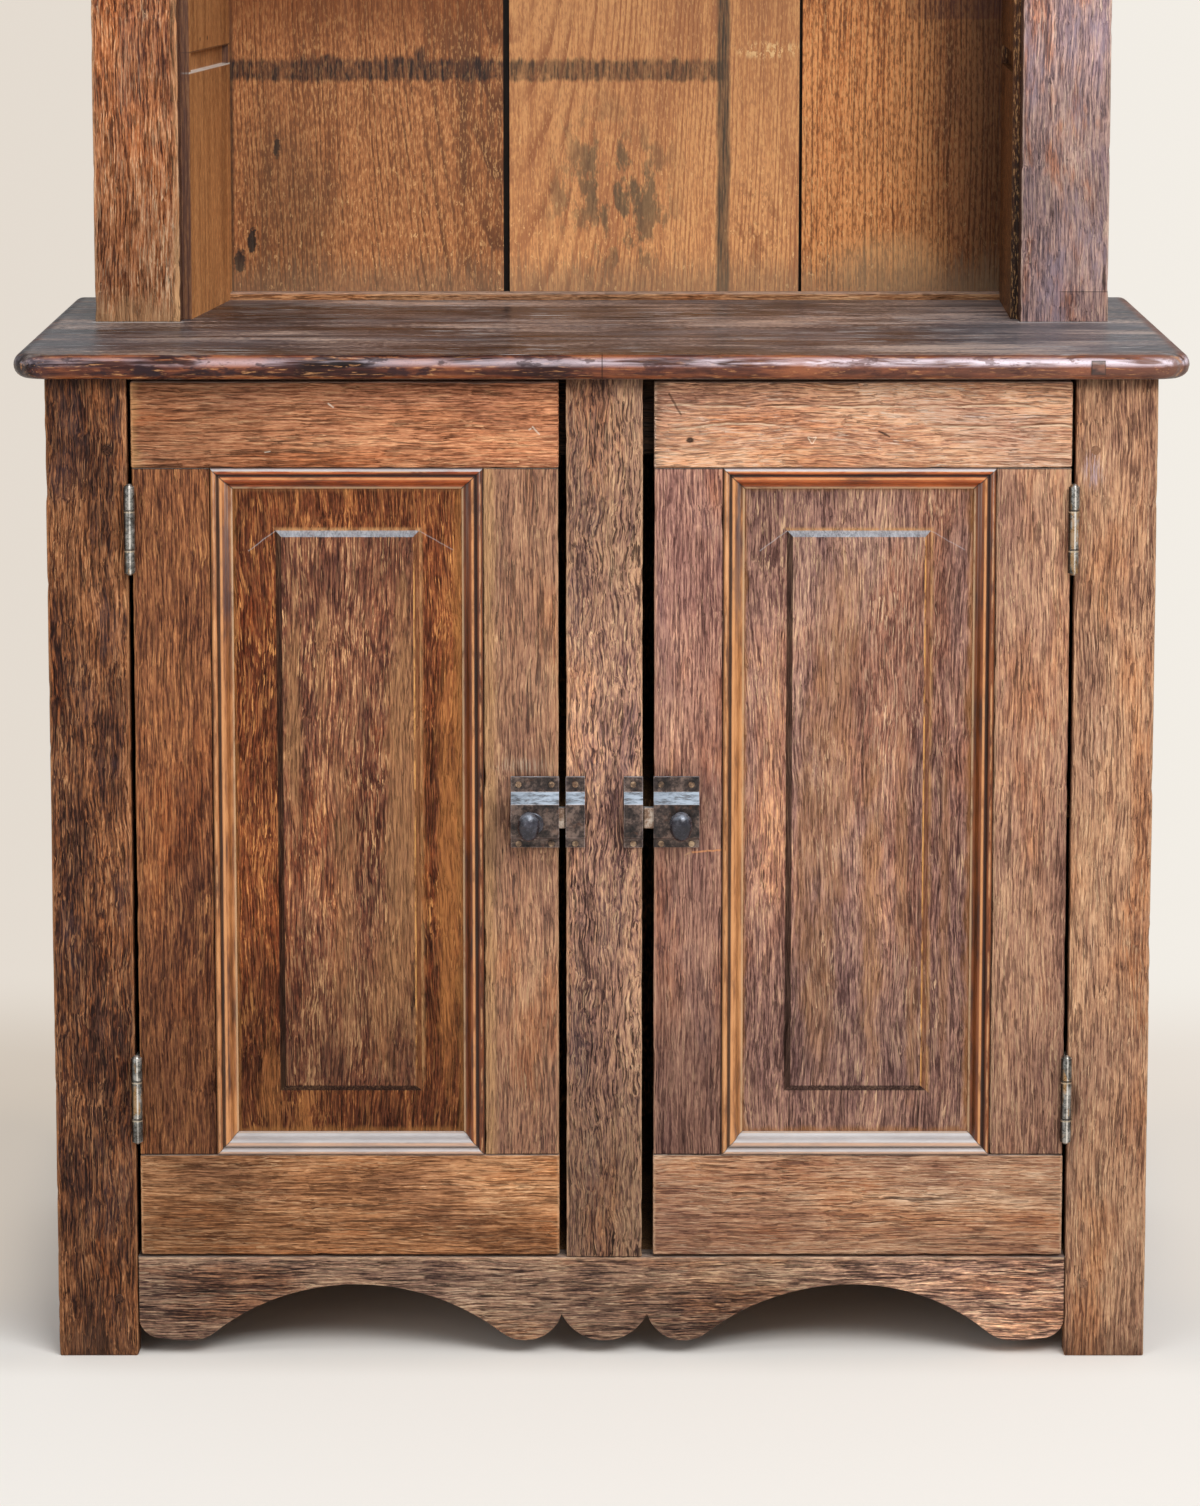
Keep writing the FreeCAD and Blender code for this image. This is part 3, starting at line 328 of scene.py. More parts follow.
def old_oak(
    name, grain, tones, seed, worn=(), joints=(), broad=0.5, bare=0.35, wave=0.006, gloss=0.5, hazy_sheen=0.0,
    hazy_sheen_tint=(88, 76, 86), marks=None, curl=0.004, lines=0.65, glints=0.65, grit=0.75, lightness_steps=(),
    tints=((255, 222, 188), (210, 208, 224)), tint_scale=17,
):
    """Open-grained oak under an old, rubbed finish.

    tones runs from the deepest to the barest colour. worn and joints are planes (axis, value) where an
    edge is rubbed or a joint holds dirt. broad is how much wide streaks show, grit how much the finest
    fibres do, and bare how much finish is rubbed away. wave and curl are how far the grain wanders and the
    fibres waver, lines and glints how strong the dark pores and the bare fibres are. hazy_sheen is how much
    of a dull veil of hazy_sheen_tint lies on it in patches, partly a haze on the finish and partly a painted
    sheen, and tints are a warm and a cool cast in patches. lightness_steps gives (place, lightness) steps
    along the grain, which carry the wood's own tone together with painted light and shade."""
    f = Finish(name)
    tones = [tone(*t) for t in tones]
    light, tan = tones[3:]
    bent = f.moved(f.place, f.drift(along(grain, 0.6), (seed, 0, seed), 8.0), across(grain, 2 * wave))
    bent = f.moved(bent, f.drift(along(grain, 0.5), (0, seed, 2 * seed), 48.0), across(grain, curl))
    colour, fibres, strands, patches = oak_wood(f, bent, grain, seed, tones, broad, grit)
    hue = f.pattern(bent, along(grain, 0.3), (6 * seed, seed, 0), tint_scale, 3.0, 0.6)
    warm_cast, cool_cast = tints
    colour = f.mix(f.span(hue, 0.5, 0.66, 0.0, 0.6), colour, tone(*warm_cast), "MULTIPLY")
    colour = f.mix(f.span(hue, 0.5, 0.34, 0.0, 0.6), colour, tone(*cool_cast), "MULTIPLY")
    colour, rub, pore, crack, flecks = oak_wear(
        f, colour, bent, grain, seed, tones, patches, bare, lines, glints
    )
    # A dull veil in patches: partly a haze on the finish, partly a painted sheen.
    if hazy_sheen:
        hazy_sheen_veil = f.span(f.pattern(bent, along(grain, 0.25), (seed, 0, 0), 40, 5.0, 0.7), 0.5, 0.66)
        colour = f.paint(colour, hazy_sheen_veil, hazy_sheen, tone(*hazy_sheen_tint))
    # Lighter or darker along the grain: the wood's own tone together with painted light and shade.
    if lightness_steps:
        colour = graded(f, colour, grain, lightness_steps)
    ragged = f.pattern(f.place, along(grain, 0.35), (seed, seed, 0), 85, 4.0, 0.7)
    if worn:
        edge = f.most([f.near(axis, place, 0.0034, ragged) for axis, place in worn])
        on_the_front = f.times(edge, f.facing(1, -0.25, -0.6))
        colour = f.paint(colour, on_the_front, 0.8, f.mix(f.span(ragged, 0.4, 0.6), light, tan))
    if joints:
        dirt = f.most([f.near(axis, place, 0.0014) for axis, place in joints])
        colour = f.paint(colour, dirt, 0.85, DIRT)
    if marks:
        colour = f.mix(f.facing(1, 0.3, 0.7), marks(f, colour, fibres, ragged), colour)
    # Painted shade from the counter's overhang, with some dirt, across the tops of the base stiles.
    if grain == "Z" and name.split("_")[1] == "stile":
        shade_and_dirt_under_counter = f.near(2, counter_low, 0.014, ragged)
        colour = f.paint(colour, shade_and_dirt_under_counter, 0.6, tone(52, 34, 28))
    # Dust and a painted highlight where a surface faces up.
    colour = f.paint(colour, f.facing_up(), 0.4, tone(186, 174, 166))
    relief = f.minus(f.plus(fibres, f.times(strands, 0.8)), f.times(pore, 1.1))
    relief = f.plus(relief, f.minus(f.times(flecks, 0.6), crack))
    shine = f.plus(f.span(fibres, 0.3, 0.7, gloss - 0.08, gloss + 0.14), f.times(rub, 0.15))
    return f.surface(colour, shine, f.bump(relief, 0.0026, 0.8), sheen=0.12)


OPEN_RINGS = 0.112
WIDE_RING = 0.0085


def old_pine(
    name, tones, seed, heart, depth, slope, spacing=0.0042, marks=None, gloss=0.5, joint=None, corners=(),
    specks=0.85
):
    """Plain-sawn pine: growth rings about a heart (X, Z) that lies behind the face and leans away from it.

    The rings are WIDE_RING apart out to OPEN_RINGS from the heart, and closer together beyond, by the
    spacing. joint is the depth range of an open joint's edges, painted nearly black as grime and painted
    shade in the gap, and corners are planes along which a dark line of painted shade lies."""
    f = Finish(name)
    grain = "Z"
    early, body, late, dark = [tone(*t) for t in tones]
    bent = f.moved(f.place, f.drift(along(grain, 0.22), (seed, 0, 0), 16.0, 3.0), (0.012, 0.0, 0.0))
    x, _, z = f.axes(bent)
    across = f.minus(x, heart[0])
    deep = f.plus(f.times(f.minus(z, heart[1]), slope), depth)
    radius = f.math("SQRT", f.plus(f.times(across, across), f.times(deep, deep)))
    uneven = f.pattern(f.place, along(grain, 0.03), (seed, 0, seed), 40, 3.0, 0.6)
    radius = f.plus(radius, f.times(uneven, 0.007))
    close = f.math("DIVIDE", f.most([f.minus(radius, OPEN_RINGS), 0.0]), spacing)
    count = f.plus(close, f.math("DIVIDE", f.math("MINIMUM", radius, OPEN_RINGS), WIDE_RING))
    ring = f.math("FRACT", count)
    strength = f.pattern(f.place, along(grain, 0.05), (3 * seed, 0, 0), 90, 2.0, 0.5)
    line = f.band(ring, 0.5, 0.88, 0.94, 1.0)
    line = f.times(line, f.span(strength, 0.35, 0.6, 0.3, 1.0))
    fibres = f.pattern(bent, along(grain, 0.045), (seed, 2 * seed, 0), 560, 3.0, 0.65)
    strands = f.pattern(bent, along(grain, 0.06), (2 * seed, 0, 0), 80, 4.0, 0.6)
    broad = f.pattern(f.place, along(grain, 0.25), (seed, 4 * seed, 0), 9, 3.0, 0.6)
    base = f.plus(f.times(strands, 0.6), f.plus(f.times(fibres, 0.5), f.times(broad, 0.7)))
    colour = f.ramp(f.span(base, 0.68, 1.12), [(0.0, dark), (0.3, body), (0.6, early), (1.0, early)])
    colour = f.paint(colour, line, 0.85, late)
    pores = f.pattern(bent, along(grain, 0.03), (5 * seed, 0, 0), 500, 2.0, 0.6)
    colour = f.mix(f.span(pores, 0.55, 0.64, 0.0, 0.5), colour, late)
    grime = f.pattern(f.place, along(grain, 0.7), (seed, seed, 0), 9, 4.0, 0.62)
    colour = f.mix(f.span(grime, 0.52, 0.74, 0.0, 0.45), colour, dark)
    mottle = f.noise(f.place, 190, 4.0, 0.7)
    colour = f.mix(f.span(mottle, 0.55, 0.75, 0.0, 0.35), colour, dark)
    specks_dark = f.pattern(f.place, along(grain, 0.25), (9 * seed, 0, 0), 620, 2.0, 0.6)
    colour = f.mix(f.span(specks_dark, 0.51, 0.66, 0.0, 0.65), colour, dark)
    colour = f.mix(f.span(specks_dark, 0.48, 0.35, 0.0, 0.45), colour, tone(232, 176, 116))
    glints = f.pattern(f.place, along(grain, 0.4), (7 * seed, 0, 0), 250, 3.0, 0.65)
    low_down = f.span(z, 0.9, 1.12, 1.0, 0.15)
    colour = f.paint(colour, f.times(f.span(glints, 0.615, 0.67), low_down), specks, tone(242, 192, 132))
    # Painted shade: a dark line along each inside corner.
    if corners:
        corner_shade = f.most([f.near(0, edge, 0.0035, grime) for edge in corners])
        colour = f.paint(colour, corner_shade, 0.8, tone(44, 28, 19))
    if marks:
        colour = f.mix(f.facing(1, 0.5, 0.9), marks(f, colour, fibres, grime), colour)
    # Grime and painted shade, nearly black, on the faces inside an open joint.
    if joint:
        y = f.axes()[1]
        joint_shade = f.band(y, joint[0], joint[0] + 0.0008, joint[1] - 0.0008, joint[1])
        colour = f.paint(colour, joint_shade, 0.97, tone(10, 8, 7))
    relief = f.plus(f.times(line, -0.5), fibres)
    return f.surface(
        colour, f.span(fibres, 0.3, 0.7, gloss - 0.05, gloss + 0.12), f.bump(relief, 0.0008, 0.5),
        sheen=0.25
    )


# ---- Shaping -------------------------------------------------------------------------------------------
def settle(bm, name, body, replaced, material, smooth=40.0, extra=()):
    """Turns a bmesh into a finished piece that rides on a body and stands for CAD nodes."""
    bmesh.ops.recalc_face_normals(bm, faces=bm.faces)
    for face in bm.faces:
        face.smooth = True
    for edge in bm.edges:
        edge.smooth = edge.is_manifold and edge.calc_face_angle(0.0) < math.radians(smooth)
    mesh = bpy.data.meshes.new(name)
    bm.to_mesh(mesh)
    bm.free()
    for one in (material, *extra):
        mesh.materials.append(one)
    piece = bpy.data.objects.new(name, mesh)
    scene.collection.objects.link(piece)
    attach(piece, body)
    if replaced:
        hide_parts(*replaced)
    return piece


def box_mesh(low, high):
    size = [h - l for l, h in zip(low, high)]
    middle = [(h + l) / 2 for l, h in zip(low, high)]
    bm = bmesh.new()
    bmesh.ops.create_cube(bm, size=1.0, matrix=Matrix.Translation(middle) @ Matrix.Diagonal((*size, 1.0)))
    return bm


def runs_along(edge, axis):
    run = edge.verts[1].co - edge.verts[0].co
    return abs(run[axis]) > 0.99 * run.length


WEAR_SPACING = 0.006
WEAR_DEPTH = 0.0011
ARRIS_REACH = 0.006


def cut_across(bm, axis, low, high, steps):
    """Cuts a mesh into even slices across an axis, so that wear has vertices to move."""
    normal = Vector([float(one == axis) for one in range(3)])
    for step in range(1, steps):
        point = normal * (low + (high - low) * step / steps)
        geometry = bm.verts[:] + bm.edges[:] + bm.faces[:]
        bmesh.ops.bisect_plane(bm, geom=geometry, dist=1e-6, plane_co=point, plane_no=normal)


def hand_wear(bm, low, high, grain, seed, dents):
    """Draws the surface in a little, and the long arrises more, so that nothing leaves the sawn size."""
    cross = [axis for axis in range(3) if axis != grain]
    middle = (Vector(low) + Vector(high)) / 2
    half = (Vector(high) - Vector(low)) / 2
    shift = Vector((seed, seed * 2, seed * 3))
    for vert in bm.verts:
        away = vert.co - middle
        close = [max(0.0, 1.0 - (half[a] - abs(away[a])) / ARRIS_REACH) for a in cross]
        edge = min(close)
        place = vert.co + shift
        swell = 0.5 + 0.5 * noise.noise(place * 14)
        nick = max(0.0, noise.noise(place * 55) - 0.25) * 2.2 * dents
        chip = max(0.0, noise.noise(place * 160) - 0.35) * 1.6 * dents
        for axis in cross:
            inward = -math.copysign(1.0, away[axis])
            flat = 0.12 * swell + 0.08 * (0.5 + 0.5 * noise.noise(place * 120))
            vert.co[axis] += inward * WEAR_DEPTH * (flat + edge * (0.7 * swell + nick + chip))


EASED = 0.0016


def board(name, node, body, grain, material, low=None, high=None, ends=EASED, seed=1.0, dents=1.0):
    """A sawn board with hand-worn arrises, in place of a CAD board of the same size.

    low and high replace single coordinates of its corners, ends is how far its ends are eased, seed picks the
    wear and dents is how deep that goes."""
    box_low, box_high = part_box(node)
    low = [b if v is None else v for v, b in zip(low or (None,) * 3, box_low)]
    high = [b if v is None else v for v, b in zip(high or (None,) * 3, box_high)]
    axis = "XYZ".index(grain)
    bm = box_mesh(low, high)
    long_edges = [e for e in bm.edges if runs_along(e, axis)]
    bmesh.ops.bevel(bm, geom=long_edges, offset=EASED, segments=3, profile=0.5, affect="EDGES", material=-1)
    caps = [e for e in bm.edges if not runs_along(e, axis)]
    bmesh.ops.bevel(
        bm, geom=caps, offset=ends, segments=3, profile=0.5, affect="EDGES", material=-1, clamp_overlap=True
    )
    cut_across(bm, axis, low[axis], high[axis], int((high[axis] - low[axis]) / WEAR_SPACING))
    hand_wear(bm, low, high, axis, seed, dents)
    return settle(bm, name, body, [node], material)


def merged(node):
    """A bmesh copy of a CAD node with its loose triangles joined and its flat faces made whole."""
    bm = bmesh.new()
    bm.from_mesh(nodes[node].data)
    bmesh.ops.remove_doubles(bm, verts=bm.verts, dist=2e-6)
    bmesh.ops.dissolve_limit(bm, angle_limit=math.radians(0.5), verts=bm.verts, edges=bm.edges)
    return bm


def softened(
    name, node, body, material, ease, segments=2, sharp=50.0, keep=None, extra=(), smooth=35.0
):
    """A CAD node's shape with its sharp arrises eased. The eased faces take the second finish, if any."""
    bm = merged(node)
    edges = [
        e for e in bm.edges if e.is_manifold and e.calc_face_angle(0.0) > math.radians(sharp)
        and (keep is None or keep(e))
    ]
    made = bmesh.ops.bevel(
        bm, geom=edges, offset=ease, segments=segments, profile=0.5, affect="EDGES", material=-1,
        clamp_overlap=True
    )
    if extra:
        for face in made["faces"]:
            face.material_index = 1
    return settle(bm, name, body, [node], material, smooth, extra)


def dress(node, material):
    """Gives a CAD node its finish."""
    mesh = nodes[node].data
    mesh.materials.clear()
    mesh.materials.append(material)


# ---- Finishes of the base ------------------------------------------------------------------------------
base_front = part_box("base_left_stile")[0].y


def span_of(node, axis):
    low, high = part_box(node)
    return low[axis], high[axis]


left_stile_x = span_of("base_left_stile", 0)
right_stile_x = span_of("base_right_stile", 0)
left_door_x = span_of("left_door_top_rail", 0)
right_door_x = span_of("right_door_top_rail", 0)
left_field_x = span_of("left_door_moulding", 0)
right_field_x = span_of("right_door_moulding", 0)
left_opening_z = span_of("left_door_moulding", 2)
right_opening_z = span_of("right_door_moulding", 2)
centre_stile_x = (-0.031, 0.036)
apron_top_z = span_of("left_door_bottom_rail", 2)[0] - 0.002


def peg_ring(f, colour, centre):
    """A peg's end grain, with a dark ring of dirt around it."""
    ring = f.spot(centre, (0.0056, 0.0056), None, 0.25)
    colour = f.paint(colour, ring, 0.7, tone(30, 20, 16))
    return f.mix(f.spot(centre, (0.0038, 0.0038), None, 0.2), colour, tone(74, 46, 34))


def base_left_marks(f, colour, fibres, ragged):
    colour = peg_ring(f, colour, (-0.426, 0.808))
    foot = f.near(2, 0.0, 0.05, ragged)
    return f.paint(colour, foot, 0.4, tone(98, 68, 50))


def base_right_marks(f, colour, fibres, ragged):
    scuffed = f.times(f.spot((0.424, 0.790), (0.008, 0.014), ragged, 0.5), f.span(fibres, 0.45, 0.6))
    colour = f.paint(colour, scuffed, 0.6, tone(176, 160, 178))
    foot = f.near(2, 0.0, 0.035, ragged)
    colour = f.paint(colour, foot, 0.5, tone(88, 60, 46))
    knot = f.spot((0.416, 0.233), (0.004, 0.016), ragged)
    return f.paint(colour, knot, 0.6, tone(66, 42, 32))


left_stile_oak = old_oak(
    "left_stile_oak", "Z", [(30, 16, 14), (68, 41, 33), (108, 65, 42), (154, 98, 61), (220, 160, 112)], 1.3,
    lightness_steps=((0.109, 0.87), (0.317, 1.06), (0.525, 1.08), (0.733, 0.97)),
    worn=[(0, left_stile_x[0]), (0, left_stile_x[1])], broad=0.75, bare=0.45, wave=0.006, gloss=0.5,
    hazy_sheen=0.15, marks=base_left_marks, curl=0.008, lines=0.8
)
def left_latch_marks(f, colour, fibres, ragged):
    edge = left_field_x[1]
    band = f.times(
        f.span(f.plus(f.axes()[0], f.times(ragged, 0.008)), edge + 0.018, edge + 0.010, 0.0, 1.0),
        f.span(fibres, 0.35, 0.6, 0.5, 1.0)
    )
    colour = f.paint(colour, band, 0.55, tone(206, 160, 110))
    stain = f.spot((-0.095, 0.462), (0.012, 0.030), ragged, 0.6)
    colour = f.paint(colour, stain, 0.45, tone(58, 44, 38))
    worn = f.times(f.spot((-0.068, 0.531), (0.022, 0.006), ragged, 0.6), f.span(fibres, 0.46, 0.6))
    colour = f.paint(colour, worn, 0.5, tone(206, 186, 162))
    around = f.spot((-0.058, 0.491), (0.030, 0.042), ragged, 0.35)
    return f.paint(colour, around, 0.4, tone(70, 46, 34))


def right_latch_marks(f, colour, fibres, ragged):
    colour = f.stroke(colour, (0.078, 0.4545), (0.106, 0.4565), 0.0011, tone(216, 150, 104), 0.9, ragged)
    colour = f.stroke(colour, (0.078, 0.4545), (0.072, 0.4515), 0.001, tone(216, 170, 130), 0.7, ragged)
    around = f.spot((0.066, 0.491), (0.030, 0.042), ragged, 0.35)
    return f.paint(colour, around, 0.35, tone(74, 50, 42))


def right_top_marks(f, colour, fibres, ragged):
    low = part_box("right_door_top_rail")[0]
    for height, swing, strength in ((0.8475, 0.0030, 0.75), (0.8300, 0.0045, 0.75), (0.8060, 0.003, 0.4)):
        z = f.axes()[2]
        wander = f.pattern(f.place, (1, 0, 0), (height * 40, 0, 0), 14, 3.0, 0.5)
        offset = f.minus(z, f.plus(height, f.times(f.minus(wander, 0.5), swing * 4)))
        broken = f.span(f.pattern(f.place, (1, 0, 0), (0, 0, height * 90), 16, 3.0, 0.5), 0.44, 0.56)
        # Each wavy ridge is painted with its light and shade: a dark line, and a pale painted highlight just
        # below it.
        ridge_shade = f.times(f.span(f.math("ABSOLUTE", offset), 0.0004, 0.0014, 1.0, 0.0), broken)
        light = f.times(
            f.span(f.math("ABSOLUTE", f.plus(offset, 0.0017)), 0.0004, 0.0013, 1.0, 0.0), broken
        )
        colour = f.paint(colour, ridge_shade, strength, tone(128, 86, 62))
        colour = f.paint(colour, light, strength, tone(232, 200, 168))
    eye = f.spot((0.074, 0.8165), (0.026, 0.0075), None, 0.3)
    pupil = f.spot((0.076, 0.8168), (0.0035, 0.0028), ragged, 0.3)
    ring = f.math("SUBTRACT", eye, f.spot((0.074, 0.8165), (0.020, 0.005), None, 0.35), clamp=True)
    colour = f.paint(colour, ring, 0.6, tone(122, 84, 60))
    colour = f.paint(colour, pupil, 0.9, tone(44, 30, 24))
    check = f.times(f.near(0, low.x, 0.012, ragged), f.span(fibres, 0.42, 0.52))
    colour = f.paint(colour, check, 0.7, tone(70, 44, 32))
    for start, end in (
        ((0.1775, 0.8195), (0.1815, 0.8130)), ((0.1855, 0.8195), (0.1815, 0.8130)),
        ((0.1775, 0.8195), (0.1815, 0.8185)), ((0.1855, 0.8195), (0.1815, 0.8185))
    ):
        colour = f.stroke(colour, start, end, 0.0007, tone(238, 212, 186), 0.8)
    colour = f.stroke(colour, (0.238, 0.825), (0.249, 0.819), 0.0012, tone(58, 40, 32), 0.8, ragged)
    return f.stroke(
        colour, (low.x + 0.012, 0.858), (low.x + 0.024, 0.838), 0.0012, tone(74, 48, 36), 0.7, ragged
    )


def left_top_marks(f, colour, fibres, ragged):
    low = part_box("left_door_top_rail")[0]
    end = f.near(0, low.x, 0.010, ragged)
    colour = f.paint(colour, end, 0.5, tone(206, 156, 104))
    for start, stop in (
        ((-0.06, 0.829), (-0.053, 0.821)), ((-0.060, 0.827), (-0.063, 0.825)),
        ((-0.285, 0.807), (-0.291, 0.806)), ((-0.23, 0.845), (-0.236, 0.849))
    ):
        colour = f.stroke(colour, start, stop, 0.0009, tone(226, 206, 186), 0.8, ragged)
    return colour


right_stile_oak = old_oak(
    "right_stile_oak", "Z",
    [(84, 55, 47), (143, 102, 81), (176, 130, 100), (200, 153, 118), (235, 193, 153)], 2.7,
    lightness_steps=((0.109, 0.85), (0.317, 1), (0.733, 1.09)), worn=[(0, right_stile_x[1])], broad=0.5, bare=0.25,
    wave=0.006, gloss=0.56, marks=base_right_marks
)
centre_oak = old_oak(
    "centre_stile_oak", "Z",
    [(46, 30, 28), (108, 77, 69), (161, 119, 99), (195, 149, 116), (235, 193, 152)], 4.1,
    lightness_steps=((0.15, 0.58), (0.365, 1.11), (0.552, 1.44), (0.739, 0.91)),
    worn=[(0, centre_stile_x[0]), (0, centre_stile_x[1])], joints=[(2, apron_top_z)], broad=0.6, bare=0.4,
    wave=0.006, hazy_sheen=0.2, curl=0.012, lines=0.85
)
apron_oak = old_oak(
    "apron_oak", "X", [(26, 18, 19), (76, 53, 47), (128, 97, 82), (178, 137, 111), (250, 214, 176)], 5.9,
    lightness_steps=((-0.3, 0.81), (0.03, 0.8), (0.14, 0.72), (0.33, 1.8)),
    joints=[(0, left_stile_x[1]), (0, right_stile_x[0])], worn=[(2, apron_top_z)], broad=0.6, bare=0.4,
    wave=0.004
)
left_top_oak = old_oak(
    "left_top_rail_oak", "X",
    [(89, 53, 36), (142, 87, 57), (179, 115, 79), (202, 137, 98), (232, 177, 132)], 6.2,
    lightness_steps=((-0.349, 0.72), (-0.263, 0.92), (-0.177, 1.1), (-0.091, 1.3)), joints=[(2, left_opening_z[1])],
    worn=[(0, left_door_x[0])], broad=0.7, bare=0.3, wave=0.004, marks=left_top_marks
)
left_bottom_oak = old_oak(
    "left_bottom_rail_oak", "X",
    [(87, 53, 33), (134, 88, 56), (164, 112, 74), (191, 136, 94), (236, 188, 142)], 7.7,
    lightness_steps=((-0.349, 0.78), (-0.26, 1.03), (-0.091, 1.1)), joints=[(2, left_opening_z[0])],
    worn=[(0, left_door_x[0]), (0, left_door_x[1])], broad=0.7, bare=0.4, wave=0.003
)
left_hinge_oak = old_oak(
    "left_hinge_stile_oak", "Z",
    [(57, 31, 26), (97, 57, 39), (129, 79, 52), (160, 103, 66), (214, 150, 96)], 8.4,
    lightness_steps=((0.254, 0.7), (0.4, 1.04), (0.545, 1.17), (0.69, 1.09)),
    joints=[(2, left_opening_z[0]), (2, left_opening_z[1]), (0, left_field_x[0])],
    worn=[(0, left_door_x[0])], broad=0.6, bare=0.45
)
left_latch_oak = old_oak(
    "left_latch_stile_oak", "Z",
    [(75, 56, 50), (139, 97, 78), (163, 118, 92), (184, 137, 106), (227, 183, 139)], 9.6,
    lightness_steps=((0.254, 0.92), (0.4, 1.08), (0.545, 1)), joints=[(2, left_opening_z[0]), (2, left_opening_z[1])],
    worn=[(0, left_door_x[1]), (0, left_field_x[1])], broad=0.55, bare=0.5, marks=left_latch_marks
)
right_latch_oak = old_oak(
    "right_latch_stile_oak", "Z",
    [(86, 56, 52), (131, 90, 79), (161, 117, 101), (184, 137, 116), (233, 185, 152)], 10.3,
    lightness_steps=((0.254, 0.61), (0.4, 0.93), (0.545, 1.09), (0.69, 1.32)),
    joints=[(2, right_opening_z[0]), (2, right_opening_z[1]), (0, right_field_x[0])],
    worn=[(0, right_door_x[0])], broad=0.5, bare=0.3, hazy_sheen=0.2, marks=right_latch_marks
)
right_hinge_oak = old_oak(
    "right_hinge_stile_oak", "Z",
    [(93, 62, 52), (151, 109, 91), (176, 131, 106), (200, 154, 122), (232, 192, 152)], 11.8,
    lightness_steps=((0.254, 0.86), (0.4, 1), (0.545, 1.08)),
    joints=[(2, right_opening_z[0]), (2, right_opening_z[1])], worn=[(0, right_field_x[1])], broad=0.5,
    bare=0.3
)
right_top_oak = old_oak(
    "right_top_rail_oak", "X",
    [(139, 95, 75), (212, 153, 119), (230, 175, 136), (237, 192, 157), (238, 214, 193)], 12.4,
    joints=[(2, right_opening_z[1])], worn=[(0, right_door_x[0])], broad=0.8, bare=0.3, wave=0.012,
    gloss=0.58, marks=right_top_marks
)
right_bottom_oak = old_oak(
    "right_bottom_rail_oak", "X",
    [(91, 60, 49), (148, 103, 79), (170, 123, 93), (188, 146, 114), (228, 192, 160)], 13.9,
    joints=[(2, right_opening_z[0])], worn=[(0, right_door_x[0]), (0, right_door_x[1])], broad=0.75,
    bare=0.4, wave=0.005
)


MOULDING_WIDTH = 0.0185
FIELD_MARGIN = 0.037
PALE_SCRATCH = tone(190, 186, 188)


def beside_rectangle(f, middle, half, blur):
    """How far a point lies outside a rectangle (X, Z) each way, and how much it belongs to a level side."""
    x, _, z = f.axes()
    beyond_x = f.minus(f.apart(x, middle[0]), half[0])
    beyond_z = f.minus(f.apart(z, middle[1]), half[1])
    return beyond_x, beyond_z, f.span(f.minus(beyond_z, beyond_x), -blur, blur)


def field_bevel(f, colour, ragged, middle, half):
    """The raised field's bevel, with painted shade at the left and below, a painted highlight and wear at the
    right, and dust with a painted highlight on top.
    """
    x, _, z = f.axes()
    beyond_x, beyond_z, level = beside_rectangle(f, middle, half, 0.0003)
    out = f.most([beyond_x, beyond_z])
    upright = f.minus(1.0, level)
    bevel = f.band(out, -0.0054, -0.0048, -0.0002, 0.0006)
    around = f.band(out, -0.0004, 0.0004, 0.0006, 0.0042)
    rightward = f.span(x, middle[0] - 0.001, middle[0] + 0.001)
    upward = f.span(z, middle[1] - 0.001, middle[1] + 0.001)
    left = f.times(upright, f.minus(1.0, rightward))
    right = f.times(upright, rightward)
    bottom = f.times(level, f.minus(1.0, upward))
    top = f.times(level, upward)
    # Painted shade on the bevel's left and lower sides, and painted light, orange, on its right side.
    colour = f.paint(colour, f.times(bevel, left), 0.85, tone(42, 26, 18))
    colour = f.paint(colour, f.times(bevel, bottom), 0.7, tone(40, 28, 24))
    colour = f.paint(
        colour, f.times(bevel, right), 0.6, f.mix(ragged, tone(96, 56, 32), tone(160, 100, 58))
    )
    # A painted highlight along the right side's lip.
    lip = f.times(f.band(out, -0.0056, -0.0050, -0.0042, -0.0036), right, f.span(ragged, 0.38, 0.55))
    colour = f.paint(colour, lip, 0.9, tone(226, 164, 98))
    # Dust and a painted highlight on the top side.
    dusty = f.times(bevel, top, f.span(ragged, 0.25, 0.45, 0.7, 1.0))
    colour = f.paint(colour, dusty, 0.9, f.mix(ragged, tone(104, 106, 118), tone(206, 212, 220)))
    # Wear and a painted highlight just outside the field, at the right and on top.
    rubbed = f.times(around, f.most([f.times(right, 0.7), f.times(top, 0.9)]))
    colour = f.paint(colour, rubbed, f.span(ragged, 0.3, 0.55), tone(196, 146, 98))
    x0, x1, z1 = middle[0] - half[0], middle[0] + half[0], middle[1] + half[1]
    colour = f.stroke(colour, (x0, z1), (x0 - 0.024, z1 - 0.018), 0.0007, PALE_SCRATCH, 0.4, ragged)
    return f.stroke(colour, (x1, z1), (x1 + 0.030, z1 - 0.017), 0.0007, PALE_SCRATCH, 0.3, ragged)


